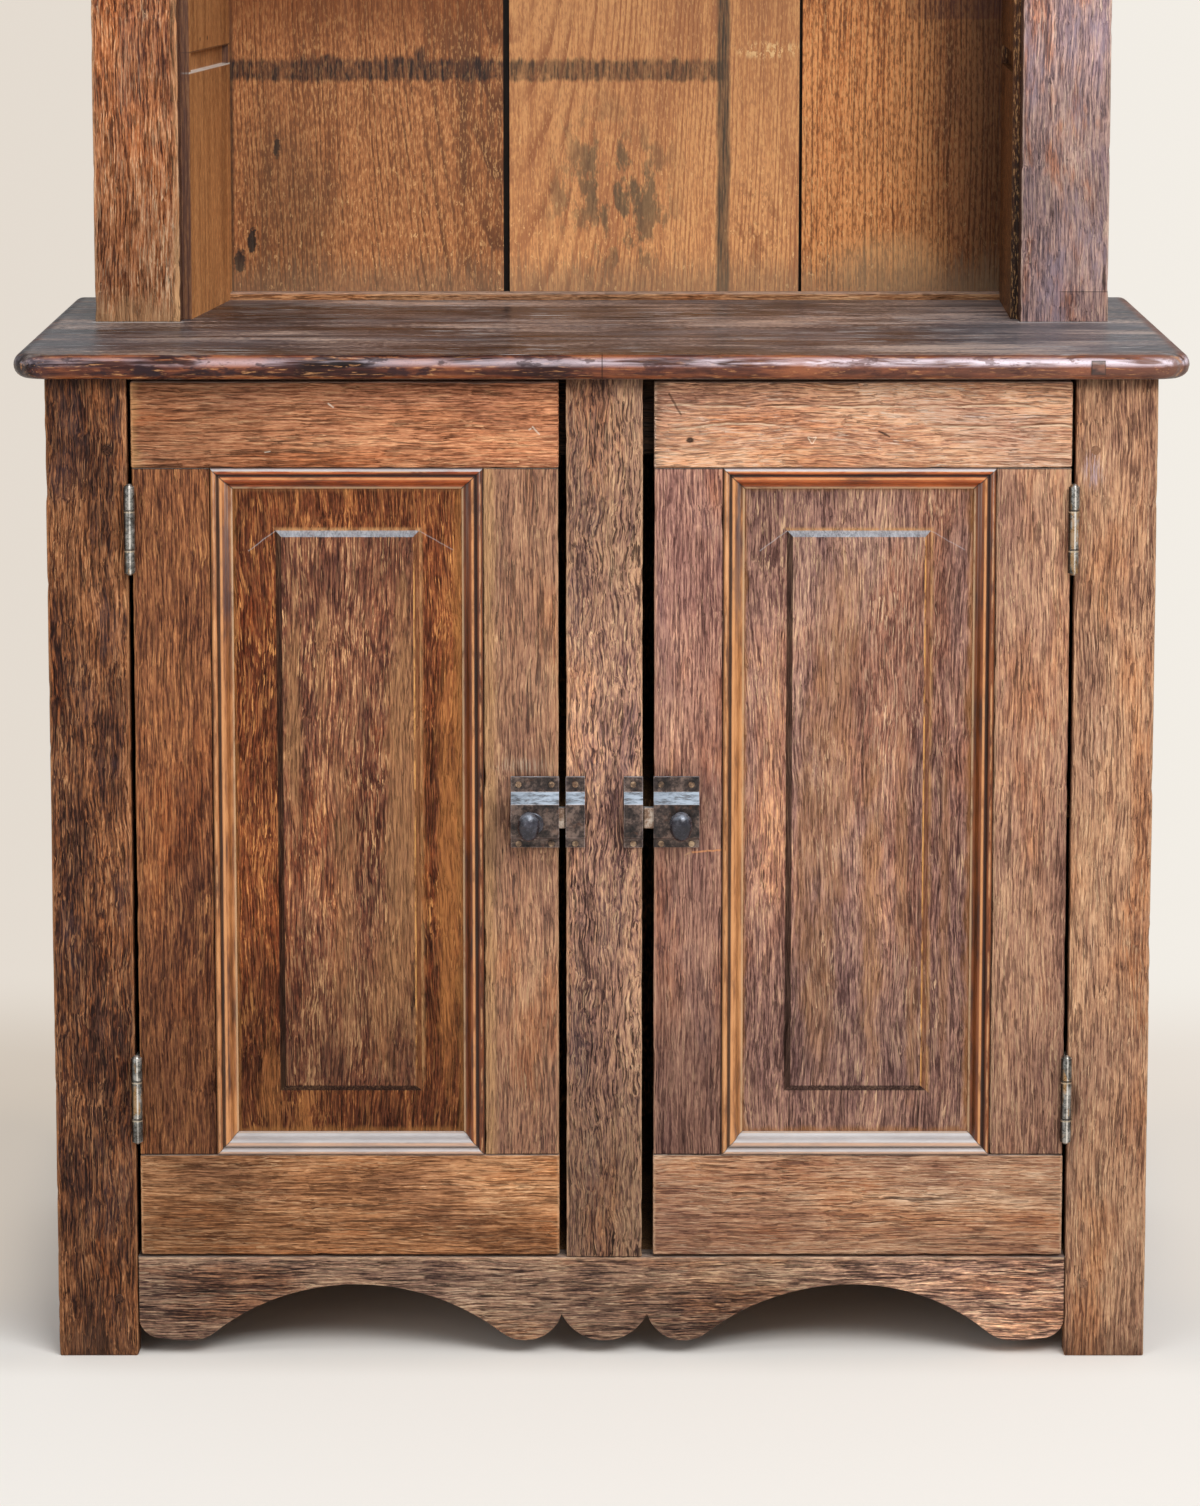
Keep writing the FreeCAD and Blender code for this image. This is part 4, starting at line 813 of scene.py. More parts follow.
def panel_marks(node, streaks, margin):
    """A panel's rubbed upright streaks, the tint and wear around its margin, and the painted shade, painted
    highlights, wear and dust on its raised field's bevel.

    streaks are (centre, radii, strength) in X and Z, and margin is how much the panel's sunk margin is
    tinted and by which colour."""
    low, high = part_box(node)
    x0, x1 = low.x + MOULDING_WIDTH, high.x - MOULDING_WIDTH
    z0, z1 = low.z + MOULDING_WIDTH, high.z - MOULDING_WIDTH
    middle = ((x0 + x1) / 2, (z0 + z1) / 2)
    half = ((x1 - x0) / 2 - FIELD_MARGIN, (z1 - z0) / 2 - FIELD_MARGIN)

    def add(f, colour, fibres, ragged):
        for centre, radii, strength in streaks:
            mask = f.times(f.spot(centre, radii, ragged, 0.5), f.span(fibres, 0.36, 0.6, 0.45, 1.0))
            colour = f.paint(colour, mask, strength, f.mix(fibres, tone(142, 94, 62), tone(196, 146, 100)))
        x, _, z = f.axes()
        beyond_sides = f.span(f.apart(x, middle[0]), half[0] - 0.001, half[0] + 0.001)
        beyond_ends = f.span(f.apart(z, middle[1]), half[1] - 0.001, half[1] + 0.001)
        tinted, cast = margin
        colour = f.paint(colour, f.most([beyond_sides, beyond_ends]), tinted, tone(*cast), "MULTIPLY")
        rim = f.most(
            [f.near(0, x1, 0.0075, ragged), f.near(2, z0, 0.006, ragged), f.near(0, x0, 0.004, ragged)]
        )
        colour = f.paint(colour, rim, 0.6, tone(160, 108, 60))
        colour = f.paint(colour, f.near(2, z1, 0.004, ragged), 0.5, tone(150, 104, 66))
        return field_bevel(f, colour, ragged, middle, half)

    return add


left_panel_oak = old_oak(
    "left_panel_oak", "Z", [(45, 26, 22), (78, 46, 37), (108, 65, 50), (140, 85, 61), (236, 182, 130)],
    14.5, lightness_steps=((0.302, 0.68), (0.418, 1.08), (0.649, 1.13), (0.8, 0.93)), broad=0.6, bare=0.2, wave=0.012,
    glints=0.85, lines=0.6,
    marks=panel_marks(
        "left_door_moulding",
        [
            ((-0.172, 0.48), (0.015, 0.17), 0.75), ((-0.134, 0.44), (0.009, 0.17), 0.9),
            ((-0.268, 0.56), (0.007, 0.09), 0.75), ((-0.225, 0.42), (0.010, 0.12), 0.4),
            ((-0.126, 0.63), (0.0035, 0.13), 0.7), ((-0.19, 0.33), (0.011, 0.07), 0.45),
            ((-0.243, 0.62), (0.005, 0.06), 0.5), ((-0.29, 0.24), (0.010, 0.04), 0.5),
            ((-0.262, 0.215), (0.006, 0.02), 0.7)
        ],
        (0.9, (248, 218, 178))
    )
)
right_panel_oak = old_oak(
    "right_panel_oak", "Z",
    [(73, 49, 45), (114, 81, 74), (150, 112, 101), (182, 139, 121), (238, 197, 159)], 15.2,
    lightness_steps=((0.302, 0.87), (0.418, 1.12), (0.6, 1.06), (0.78, 0.9)), broad=0.6, bare=0.2, wave=0.012,
    glints=0.85, lines=0.6,
    marks=panel_marks(
        "right_door_moulding",
        [
            ((0.200, 0.54), (0.016, 0.15), 0.5), ((0.178, 0.46), (0.008, 0.12), 0.45),
            ((0.236, 0.40), (0.009, 0.13), 0.6), ((0.262, 0.46), (0.005, 0.10), 0.55),
            ((0.214, 0.66), (0.012, 0.06), 0.35), ((0.30, 0.40), (0.004, 0.13), 0.45),
            ((0.19, 0.33), (0.012, 0.07), 0.4), ((0.272, 0.30), (0.005, 0.06), 0.5)
        ],
        (0.4, (255, 246, 240))
    )
)


def moulding_finish(name, node, seed, bead, body, deep):
    """Warm rubbed wood whose grain runs along each length, with painted shade in the groove beside its bead
    and on its right and top lengths, and dust with painted light on its bottom length and wherever it faces
    up.
    """
    f = Finish(name)
    low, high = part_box(node)
    middle, half = (low + high) / 2, (high - low) / 2
    x, _, z = f.axes()
    beyond_x, beyond_z, level = beside_rectangle(f, (middle.x, middle.z), (half.x, half.z), 0.0002)
    inset = f.times(f.most([beyond_x, beyond_z]), -1.0)

    def along_each(scale, length):
        upright = f.pattern(f.place, (1, 1, length), (seed, 0, 0), scale, 4.0, 0.65)
        flat = f.pattern(f.place, (length, 1, 1), (seed, 0, 0), scale, 4.0, 0.65)
        return f.plus(upright, f.times(f.minus(flat, upright), level))

    grain = along_each(420, 0.06)
    shade = along_each(60, 0.25)
    ragged = along_each(150, 0.3)
    value = f.span(f.plus(f.times(grain, 0.5), f.times(shade, 0.7)), 0.42, 0.78)
    colour = f.ramp(value, [(0.0, tone(*deep)), (0.45, tone(*body)), (1.0, tone(*bead))])

    # Painted shade: the right and top lengths are darker.
    shaded_right_length = f.times(f.span(x, middle.x - 0.001, middle.x + 0.001), f.minus(1.0, level))
    colour = f.paint(colour, shaded_right_length, 0.9, tone(150, 106, 54), "MULTIPLY")
    shaded_top_length = f.times(level, f.span(z, middle.z - 0.001, middle.z + 0.001))
    colour = f.paint(colour, shaded_top_length, 0.8, tone(228, 142, 68), "MULTIPLY")
    dusty_lit_bottom_length = f.times(level, f.span(z, middle.z - 0.001, middle.z + 0.001, 1.0, 0.0))

    bruise = f.spot((low.x + 0.012, high.z - 0.085), (0.006, 0.05), ragged, 0.5)
    colour = f.paint(colour, bruise, 0.6, tone(64, 44, 52))
    # Painted shade in the groove beside the bead.
    shaded_quirk = f.band(inset, 0.0042, 0.0052, 0.0072, 0.0082)
    colour = f.paint(colour, shaded_quirk, 0.8, tone(54, 32, 22))
    edge = f.band(inset, 0.0076, 0.0084, 0.0094, 0.0106)
    colour = f.paint(colour, edge, f.span(ragged, 0.3, 0.55, 0.3, 0.85), tone(218, 152, 98))
    seam = f.span(inset, 0.0002, 0.0009, 1.0, 0.0)
    colour = f.paint(colour, seam, 0.7, tone(34, 22, 18))
    crest = f.band(inset, 0.0012, 0.0022, 0.0028, 0.0038)
    colour = f.paint(colour, crest, f.span(ragged, 0.4, 0.6, 0.0, 0.6), tone(226, 168, 116))
    foot = f.span(inset, 0.0162, 0.0176)
    colour = f.paint(colour, foot, f.span(ragged, 0.3, 0.5, 0.2, 0.75), tone(196, 160, 122))
    mitre = f.span(f.apart(beyond_x, beyond_z), 0.0003, 0.0009, 1.0, 0.0)
    colour = f.paint(colour, mitre, 0.85, tone(26, 18, 15))
    # Dust and painted light on the bottom length, and dust with a painted highlight wherever the moulding
    # faces up.
    colour = f.paint(colour, dusty_lit_bottom_length, 0.5, tone(196, 180, 170))
    dust = f.times(f.facing_up(0.08, 0.4), f.span(ragged, 0.26, 0.42, 0.65, 0.97))
    dust = f.times(dust, f.minus(1.0, f.times(shaded_quirk, 0.35)))
    colour = f.mix(dust, colour, f.mix(shade, tone(150, 142, 142), tone(218, 216, 216)))
    relief = f.bump(f.plus(grain, shade), 0.0005, 0.5)
    return f.surface(colour, f.span(grain, 0.3, 0.7, 0.3, 0.5), relief, sheen=0.45)


left_moulding_wood = moulding_finish(
    "left_moulding_wood", "left_door_moulding", 1.7, (206, 142, 88), (162, 103, 60), (88, 52, 32)
)
right_moulding_wood = moulding_finish(
    "right_moulding_wood", "right_door_moulding", 3.4, (214, 152, 98), (172, 114, 68), (98, 62, 40)
)


# ---- Finishes of the counter and the hutch --------------------------------------------------------------
# The tangled scratches of the counter's top: how far each set is turned, its shift and how drawn out it is.
SCRATCH_SETS = ((0.12, 0, 0.05), (-0.25, 4, 0.06), (0.6, 9, 0.08), (-0.9, 2, 0.09), (1.3, 6, 0.08))


def counter_top(f, bent, fibres, streaks, patches, ragged):
    """Dark wood under an old polish, worn in patches, with a painted cool sheen in patches and towards its
    right end, scratches and dust. Gives its scratches too.
    """
    low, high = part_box("counter")
    x, y, _ = f.axes()
    grit = f.pattern(f.place, (0.4, 1, 1), (2, 6, 0), 420, 3.0, 0.65)
    value = f.plus(
        f.times(f.plus(fibres, grit), 0.75), f.plus(f.times(streaks, 0.8), f.times(patches, 0.9))
    )
    value = f.span(value, 1.33, 1.87)
    stops = [
        (0.0, tone(10, 7, 9)), (0.3, tone(50, 42, 44)), (0.65, tone(104, 91, 90)),
        (1.0, tone(206, 180, 164))
    ]
    top = f.ramp(value, stops)
    # Painted sheen: cool grey patches stand for light reflected in the polish.
    cool = f.span(f.pattern(f.place, (0.4, 1, 1), (8, 1, 0), 14, 4.0, 0.65), 0.44, 0.64)
    top = f.paint(top, cool, 0.5, f.mix(streaks, tone(62, 60, 66), tone(122, 120, 126)))
    wear = f.span(f.plus(y, f.times(patches, 0.06)), low.y + 0.085, low.y + 0.035)
    top = f.paint(top, wear, 0.35, f.mix(streaks, tone(84, 66, 54), tone(150, 122, 96)))
    darker = f.times(f.span(fibres, 0.56, 0.64), f.span(patches, 0.4, 0.6, 0.3, 1.0))
    top = f.paint(top, darker, 0.6, tone(34, 26, 25))
    tangles = []
    for turn, shift, length in SCRATCH_SETS:
        sliver = f.noise(f.mapped(bent, (length, 1, 1), (shift, shift, 0), (0, 0, turn)), 190, 2.0, 0.5)
        tangles.append(f.span(sliver, 0.675, 0.7))
    crowd = f.span(f.noise(f.mapped(f.place, shift=(4, 4, 0)), 7, 3.0, 0.6), 0.42, 0.6, 0.15, 1.0)
    scratch = f.times(f.most(tangles), crowd)
    top = f.paint(top, scratch, 0.65, tone(214, 212, 212))
    dust = f.span(f.plus(y, f.times(ragged, 0.01)), high.y - 0.036, high.y - 0.02)
    top = f.paint(top, dust, 0.5, tone(128, 116, 106))
    for stile in ("hutch_left_stile", "hutch_right_stile"):
        foot_low, foot_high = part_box(stile)
        inside = f.band(x, foot_low.x - 0.004, foot_low.x, foot_high.x, foot_high.x + 0.004)
        line = f.times(f.near(1, foot_low.y - 0.002, 0.009, ragged), inside)
        top = f.paint(top, line, 0.7, tone(206, 204, 202))
    # A painted sheen towards the right end.
    sheen_at_right_end = f.spot((0.40, 0.0), (0.10, 9.0), ragged, 0.6)
    return f.paint(top, sheen_at_right_end, 0.3, tone(140, 140, 148)), scratch


def counter_nosing(f, bent, ragged, chips):
    """Reddish wood rubbed to orange on its high spots, bruised, cracked and with a painted highlight along
    its shoulder.
    """
    low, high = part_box("counter")
    x, _, z = f.axes()
    middle = (low.z + high.z) / 2
    rolled = f.pattern(bent, (0.06, 1, 1), (5, 0, 2), 150, 3.0, 0.6)
    broad = f.pattern(f.place, (0.45, 1, 1), (2, 0, 4), 16, 4.0, 0.65)
    tint = f.span(f.plus(f.times(rolled, 0.6), f.times(broad, 0.9)), 0.56, 0.94)
    stops = [
        (0.0, tone(25, 13, 13)), (0.4, tone(60, 31, 27)), (0.7, tone(98, 54, 40)), (1.0, tone(150, 88, 56))
    ]
    roll = f.mix(f.span(x, -0.1, 0.5, 0.0, 0.45), f.ramp(tint, stops), tone(150, 100, 82))
    upper_spots, lower_spots = f.near(2, high.z - 0.003, 0.0026, ragged), f.near(
        2, low.z + 0.0022, 0.0026, ragged
    )
    high_spots = f.times(f.most([upper_spots, lower_spots]), f.span(chips, 0.46, 0.58))
    splinters = f.pattern(bent, (0.09, 1, 1), (1, 4, 2), 520, 3.0, 0.65)
    splintered = f.times(f.span(splinters, 0.57, 0.66), f.span(z, middle + 0.006, middle, 0.3, 0.8))
    bare = f.times(f.most([high_spots, splintered]), f.span(x, -0.35, 0.1, 1.0, 0.7))
    roll = f.paint(
        roll, bare, 0.8, f.mix(f.span(splinters, 0.45, 0.7), tone(142, 76, 40), tone(222, 162, 108))
    )
    bruises = f.span(f.pattern(f.place, (0.4, 1, 1), (1, 0, 6), 62, 4.0, 0.7), 0.55, 0.64)
    roll = f.paint(roll, bruises, f.span(x, -0.3, 0.2, 0.85, 0.5), tone(44, 28, 34))
    # A painted highlight along the shoulder of the roll, stronger towards the right end.
    shoulder = f.times(f.near(2, middle + 0.0045, 0.0052), f.span(x, -0.2, 0.25, 0.4, 1.0))
    unbruised = f.times(f.span(rolled, 0.36, 0.56), f.span(bruises, 0.2, 0.8, 1.0, 0.35))
    roll = f.paint(roll, shoulder, unbruised, tone(228, 212, 222))
    cracks = f.pattern(bent, (0.3, 1, 1), (9, 3, 0), 170, 4.0, 0.75)
    roll = f.mix(f.span(f.apart(cracks, 0.5), 0.006, 0.0, 0.0, 0.75), roll, tone(28, 16, 18))
    for tip, tint_of_tip in ((-1, tone(44, 38, 48)), (1, tone(120, 84, 70))):
        end = f.span(f.times(x, tip), high.x - 0.045, high.x - 0.02)
        end = f.times(end, f.span(f.pattern(f.place, (0.7, 1, 1), (tip, 0, 7), 70, 4.0, 0.7), 0.44, 0.56))
        roll = f.paint(roll, end, 0.7, tint_of_tip)
    return roll


def counter_finish():
    """The counter's dark scratched top and its reddish nosing, with a brink, a crease and a split between."""
    f = Finish("counter_polish")
    low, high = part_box("counter")
    x, y, _ = f.axes()
    bent = f.moved(f.place, f.drift((0.5, 1, 1), (0, 0, 0), 9.0), (0.0, 0.05, 0.0))
    fibres = f.pattern(bent, (0.05, 1, 1), (0, 0, 0), 300, 3.0, 0.62)
    streaks = f.pattern(bent, (0.07, 1, 1), (0, 2, 0), 42, 4.0, 0.6)
    patches = f.pattern(f.place, (0.4, 1, 1), (3, 0, 0), 11, 4.0, 0.65)
    ragged = f.pattern(f.place, (0.4, 1, 1), (0, 0, 0), 90, 5.0, 0.7)
    chips = f.pattern(f.place, (0.22, 1, 1), (5, 0, 0), 170, 4.0, 0.7)
    top, scratch = counter_top(f, bent, fibres, streaks, patches, ragged)
    roll = counter_nosing(f, bent, ragged, chips)
    front = f.span(f.plus(y, f.times(ragged, 0.005)), low.y + 0.0085, low.y + 0.0125, 1.0, 0.0)
    ends = f.span(f.math("ABSOLUTE", x), high.x - 0.016, high.x - 0.009)
    colour = f.mix(f.most([front, ends]), top, roll)
    brink = f.times(f.near(1, low.y + 0.0105, 0.002, ragged), f.span(chips, 0.5, 0.6))
    colour = f.paint(colour, brink, 0.6, tone(212, 150, 100))
    crease = f.times(f.near(1, low.y + 0.0145, 0.0022, ragged), f.span(patches, 0.36, 0.5, 0.4, 0.8))
    colour = f.mix(crease, colour, tone(30, 21, 22))
    split = f.times(f.near(0, 0.0005, 0.0009), f.span(y, low.y + 0.004, low.y + 0.02, 1.0, 0.0))
    colour = f.paint(colour, split, 0.8, tone(24, 14, 14))
    shine = f.plus(f.span(streaks, 0.35, 0.65, 0.26, 0.42), f.times(scratch, 0.2))
    relief = f.plus(fibres, f.times(streaks, 0.7))
    return f.surface(colour, shine, f.bump(relief, 0.0009, 0.5), sheen=0.2)


def plug_finish():
    """A square plug of the nosing's own wood, with a dark line around it."""
    f = Finish("plug_wood")
    low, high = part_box("nosing_plug")
    streaks = f.pattern(f.place, (0.3, 1, 1), (0, 0, 0), 150, 4.0, 0.65)
    colour = f.ramp(
        f.span(streaks, 0.35, 0.65),
        [(0.0, tone(56, 36, 32)), (0.5, tone(96, 62, 52)), (1.0, tone(132, 88, 70))]
    )
    line = f.most(
        [
            f.near(0, low.x, 0.0011), f.near(0, high.x, 0.0011), f.near(2, low.z, 0.0011),
            f.near(2, high.z, 0.0011)
        ]
    )
    colour = f.paint(colour, line, 0.8, tone(30, 20, 18))
    return f.surface(colour, 0.36, f.bump(streaks, 0.0003, 0.5), sheen=0.6)


def hutch_left_marks(f, colour, fibres, ragged):
    foot = f.near(2, span_of("hutch_left_stile", 2)[0], 0.035, ragged)
    colour = f.paint(colour, foot, 0.75, f.mix(fibres, tone(96, 62, 42), tone(206, 160, 116)))
    front = f.facing(1, -0.3, -0.7)
    chipped = f.times(f.near(0, -0.386, 0.006, ragged), f.span(f.axes()[2], 0.93, 1.0, 1.0, 0.35))
    colour = f.paint(colour, f.times(chipped, front), 0.8, tone(222, 172, 124))
    inner = f.times(f.facing(0, 0.4, 0.8), f.span(fibres, 0.4, 0.62, 0.95, 0.7))
    return f.mix(inner, colour, tone(70, 44, 38))


def hutch_right_marks(f, colour, fibres, ragged):
    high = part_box("hutch_right_stile")[1]
    upright = f.near(0, high.x - 0.0435, 0.0006)
    level = f.near(2, 0.9205, 0.0006)
    patch = f.times(
        f.span(f.axes()[0], high.x - 0.045, high.x - 0.042), f.span(f.axes()[2], 0.9215, 0.9195)
    )
    crack = f.times(
        f.most(
            [
                f.times(upright, f.span(f.axes()[2], 0.915, 0.925, 1.0, 0.0)),
                f.times(level, f.span(f.axes()[0], high.x - 0.046, high.x - 0.043))
            ]
        ),
        0.85
    )
    colour = f.paint(colour, patch, 0.25, tone(92, 62, 56))
    colour = f.mix(crack, colour, tone(26, 18, 18))
    fork = f.spot((high.x - 0.004, 0.933), (0.0012, 0.014), ragged, 0.3, 0.25)
    colour = f.paint(colour, fork, 0.8, tone(34, 24, 24))
    inner = f.times(f.facing(0, -0.4, -0.8), f.span(fibres, 0.4, 0.62, 0.95, 0.7))
    return f.mix(inner, colour, tone(58, 34, 24))


hutch_left_x = (span_of("hutch_left_stile", 0)[0], -0.383)
hutch_right_x = (0.381, span_of("hutch_right_stile", 0)[1])
hutch_left_oak = old_oak(
    "hutch_left_stile_oak", "Z",
    [(40, 22, 18), (104, 58, 38), (156, 94, 58), (196, 129, 84), (246, 206, 166)], 16.6,
    lightness_steps=((0.942, 0.82), (1.01, 0.98), (1.078, 1.07)), worn=[(0, hutch_left_x[1]), (0, hutch_left_x[0])],
    broad=0.7, bare=0.4, wave=0.008, gloss=0.42, hazy_sheen=0.15, marks=hutch_left_marks
)
hutch_right_oak = old_oak(
    "hutch_right_stile_oak", "Z",
    [(100, 84, 90), (137, 112, 111), (174, 142, 136), (204, 166, 152), (238, 208, 184)], 17.9,
    lightness_steps=((0.942, 0.99), (1.01, 0.76), (1.078, 0.85), (1.146, 1.24)),
    worn=[(0, hutch_right_x[0]), (0, hutch_right_x[1])], broad=0.6, bare=0.3, wave=0.012, gloss=0.42,
    hazy_sheen=0.6, hazy_sheen_tint=(146, 130, 142), marks=hutch_right_marks, grit=0.7,
    tints=((255, 190, 128), (190, 192, 226)), tint_scale=50
)
hutch_rail_oak = old_oak(
    "hutch_top_rail_oak", "X",
    [(70, 42, 32), (112, 72, 52), (140, 94, 66), (160, 112, 80), (198, 150, 110)], 18.1, broad=0.6,
    bare=0.35, wave=0.006
)


STAIN = tone(26, 25, 28)
HOUSING_LIP = 1.1178


def ghost_band(f, blots_on_it):
    """The dark line that a missing shelf left across the back, with oval blots (centre, radii) on it."""
    z = f.axes()[2]
    ragged = f.pattern(f.place, (1, 1, 0.25), (0, 0, 0), 150, 4.0, 0.7)
    edge = f.plus(z, f.times(ragged, 0.016))
    band = f.band(edge, 1.107, 1.112, 1.126, 1.132)
    blots = f.pattern(f.place, (1, 1, 0.6), (0, 0, 2), 48, 4.0, 0.7)
    total = f.times(band, f.span(blots, 0.34, 0.52, 0.45, 1.0))
    for centre, radii in blots_on_it:
        total = f.most([total, f.spot(centre, radii, ragged, 0.4)])
    return f.times(
        total, f.span(f.pattern(f.place, (1, 1, 0.12), (0, 0, 0), 330, 3.0, 0.65), 0.36, 0.56, 1.0, 0.62)
    )


def foot_dust(f, colour, fibres, amount):
    """Dust on a back board just above the counter."""
    low = f.near(2, 0.9, 0.045, fibres)
    return f.paint(colour, low, amount, tone(124, 104, 82))


def left_back_marks(f, colour, fibres, grime):
    colour = f.paint(
        colour,
        ghost_band(
            f,
            [
                ((-0.268, 1.113), (0.024, 0.0115)), ((-0.262, 1.1215), (0.007, 0.005)),
                ((-0.196, 1.114), (0.030, 0.009)), ((-0.172, 1.126), (0.005, 0.009)),
                ((-0.12, 1.114), (0.02, 0.009))
            ]
        ),
        0.95, STAIN
    )
    blurred = f.noise(f.place, 210, 4.0, 0.7)
    dark = f.most(
        [
            f.spot((-0.3335, 0.949), (0.004, 0.012), blurred, 0.15),
            f.spot((-0.345, 0.930), (0.005, 0.011), blurred, 0.3),
            f.spot((-0.309, 1.038), (0.003, 0.010), blurred, 0.3)
        ]
    )
    colour = f.paint(colour, dark, 0.92, tone(26, 24, 26))
    smoke = f.spot((-0.30, 0.985), (0.035, 0.085), grime, 0.8)
    colour = f.paint(colour, smoke, 0.35, tone(84, 66, 48))
    # Painted shade: the top of the board grows darker and warmer.
    top = f.span(f.axes()[2], 1.11, 1.18)
    colour = f.paint(colour, top, 0.6, f.mix(fibres, tone(22, 8, 1), tone(160, 88, 40)))
    return foot_dust(f, colour, fibres, 0.5)


def centre_back_marks(f, colour, fibres, grime):
    band = f.times(
        ghost_band(f, [((-0.04, 1.113), (0.030, 0.006))]), f.span(f.axes()[0], 0.112, 0.124, 1.0, 0.0)
    )
    colour = f.paint(colour, band, 0.85, tone(36, 36, 34))
    wander = f.plus(f.axes()[0], f.times(f.pattern(f.place, (0, 0, 1), (0, 0, 0), 14, 3.0), 0.008))
    stripe = f.band(wander, 0.112, 0.116, 0.124, 0.128)
    colour = f.paint(colour, stripe, f.span(fibres, 0.35, 0.6, 0.95, 0.65), tone(58, 54, 46))
    # Painted shade: darker towards the top.
    colour = f.combine("MULTIPLY", colour, f.span(f.axes()[2], 0.91, 1.16, 1.08, 0.88))
    smudge = f.times(
        f.spot((0.014, 0.995), (0.050, 0.075), grime, 0.6),
        f.span(f.pattern(f.place, (1, 1, 0.4), (0, 0, 0), 60, 4.0, 0.7), 0.47, 0.58)
    )
    colour = f.paint(colour, smudge, 0.75, tone(78, 74, 58))
    red = f.times(
        f.spot((0.1514, 0.959), (0.022, 0.040), grime, 0.5),
        f.span(f.pattern(f.place, (1, 1, 0.5), (0, 0, 0), 120, 3.0, 0.7), 0.5, 0.6)
    )
    colour = f.paint(colour, red, 0.5, tone(116, 58, 34))
    pale = f.times(
        f.spot((0.158, 1.130), (0.030, 0.007), None, 0.5),
        f.span(f.pattern(f.place, (1, 1, 0.6), (0, 0, 0), 240, 2.0, 0.7), 0.52, 0.6)
    )
    colour = f.paint(colour, pale, 0.75, tone(236, 196, 140))
    return foot_dust(f, colour, fibres, 0.55)


def right_back_marks(f, colour, fibres, grime):
    shade = f.span(f.axes()[0], 0.262, 0.372)
    colour = f.paint(colour, shade, 0.8, tone(50, 26, 10))
    patch = f.times(f.span(f.axes()[2], 1.158, 1.161), f.span(f.axes()[0], 0.288, 0.291))
    colour = f.paint(colour, patch, f.span(fibres, 0.3, 0.6, 0.75, 0.3), tone(74, 40, 34))
    pale = f.spot((0.27, 0.92), (0.045, 0.028), grime, 0.6)
    colour = f.paint(colour, pale, 0.4, tone(196, 158, 112))
    return foot_dust(f, colour, fibres, 0.6)


def left_wall_marks(f, colour, fibres, grime):
    """The dusty lip of the empty housing, and two small holes above it."""
    # Painted shade: lighter low down and darker towards the top.
    colour = f.combine("MULTIPLY", colour, f.span(f.axes()[2], 0.9, 1.18, 1.17, 0.84))
    lip = f.times(f.near(2, HOUSING_LIP, 0.0014), f.span(grime, 0.35, 0.5, 0.6, 1.0))
    colour = f.mix(lip, colour, tone(232, 224, 214))
    colour = f.paint(colour, f.near(2, 1.1365, 0.0012), 0.7, tone(70, 44, 30))
    edge = f.times(f.facing(1, -0.5, -0.9), f.span(fibres, 0.4, 0.6, 0.95, 0.75))
    colour = f.mix(edge, colour, tone(82, 54, 46))
    _, y, z = f.axes()
    for place in wall_holes:
        reach = f.plus(
            f.math("POWER", f.minus(y, place[0]), 2.0), f.math("POWER", f.minus(z, place[1]), 2.0)
        )
        colour = f.mix(f.span(reach, 1.5e-6, 6e-6, 0.9, 0.0), colour, tone(30, 20, 16))
    return colour


wall_holes = ((0.106, 1.1464), (0.140, 1.1464))
board_joint = (
    span_of("hutch_left_back_board", 1)[0] + 0.0006, span_of("hutch_left_back_board", 1)[1] - 0.0006
)
left_back_pine = old_pine(
    "left_back_pine", [(184, 120, 74), (162, 101, 60), (96, 56, 34), (112, 70, 44)], 1.1, (-0.094, 1.03),
    0.078, -0.127, marks=left_back_marks, joint=board_joint, corners=(-0.352,)
)
centre_back_pine = old_pine(
    "centre_back_pine", [(219, 156, 102), (202, 138, 88), (154, 94, 60), (174, 116, 77)], 2.3,
    (-0.080, 1.03), 0.078, -0.127, marks=centre_back_marks, joint=board_joint
)
right_back_pine = old_pine(
    "right_back_pine", [(222, 147, 88), (200, 123, 69), (102, 56, 28), (100, 57, 29)], 3.9, (-0.32, 1.03),
    0.05, -0.02, 0.0052, marks=right_back_marks, joint=board_joint
)
left_wall_pine = old_pine(
    "left_wall_pine", [(204, 142, 89), (186, 125, 75), (150, 96, 55), (142, 92, 55)], 4.4, (-0.9, 1.0),
    0.05, 0.0, 0.0035, marks=left_wall_marks, specks=0.4
)
# Painted shade: the right lining is painted far darker than the left one.
shaded_right_wall_pine = old_pine(
    "shaded_right_wall_pine", [(96, 56, 30), (76, 44, 24), (54, 30, 18), (38, 23, 15)], 5.2, (0.9, 1.0), 0.05, 0.0,
    0.0035, specks=0.15
)
shelf_pine = old_pine(
    "shelf_pine", [(150, 102, 66), (132, 88, 56), (100, 62, 40), (88, 58, 38)], 6.1, (0.0, 1.0), 0.3, 0.0,
    0.004, specks=0.3
)
inner_pine = old_pine(
    "inner_pine", [(148, 110, 74), (128, 94, 62), (96, 68, 45), (84, 60, 42)], 7.3, (0.1, 0.4), 0.2, 0.05,
    0.005, gloss=0.7, specks=0.15
)
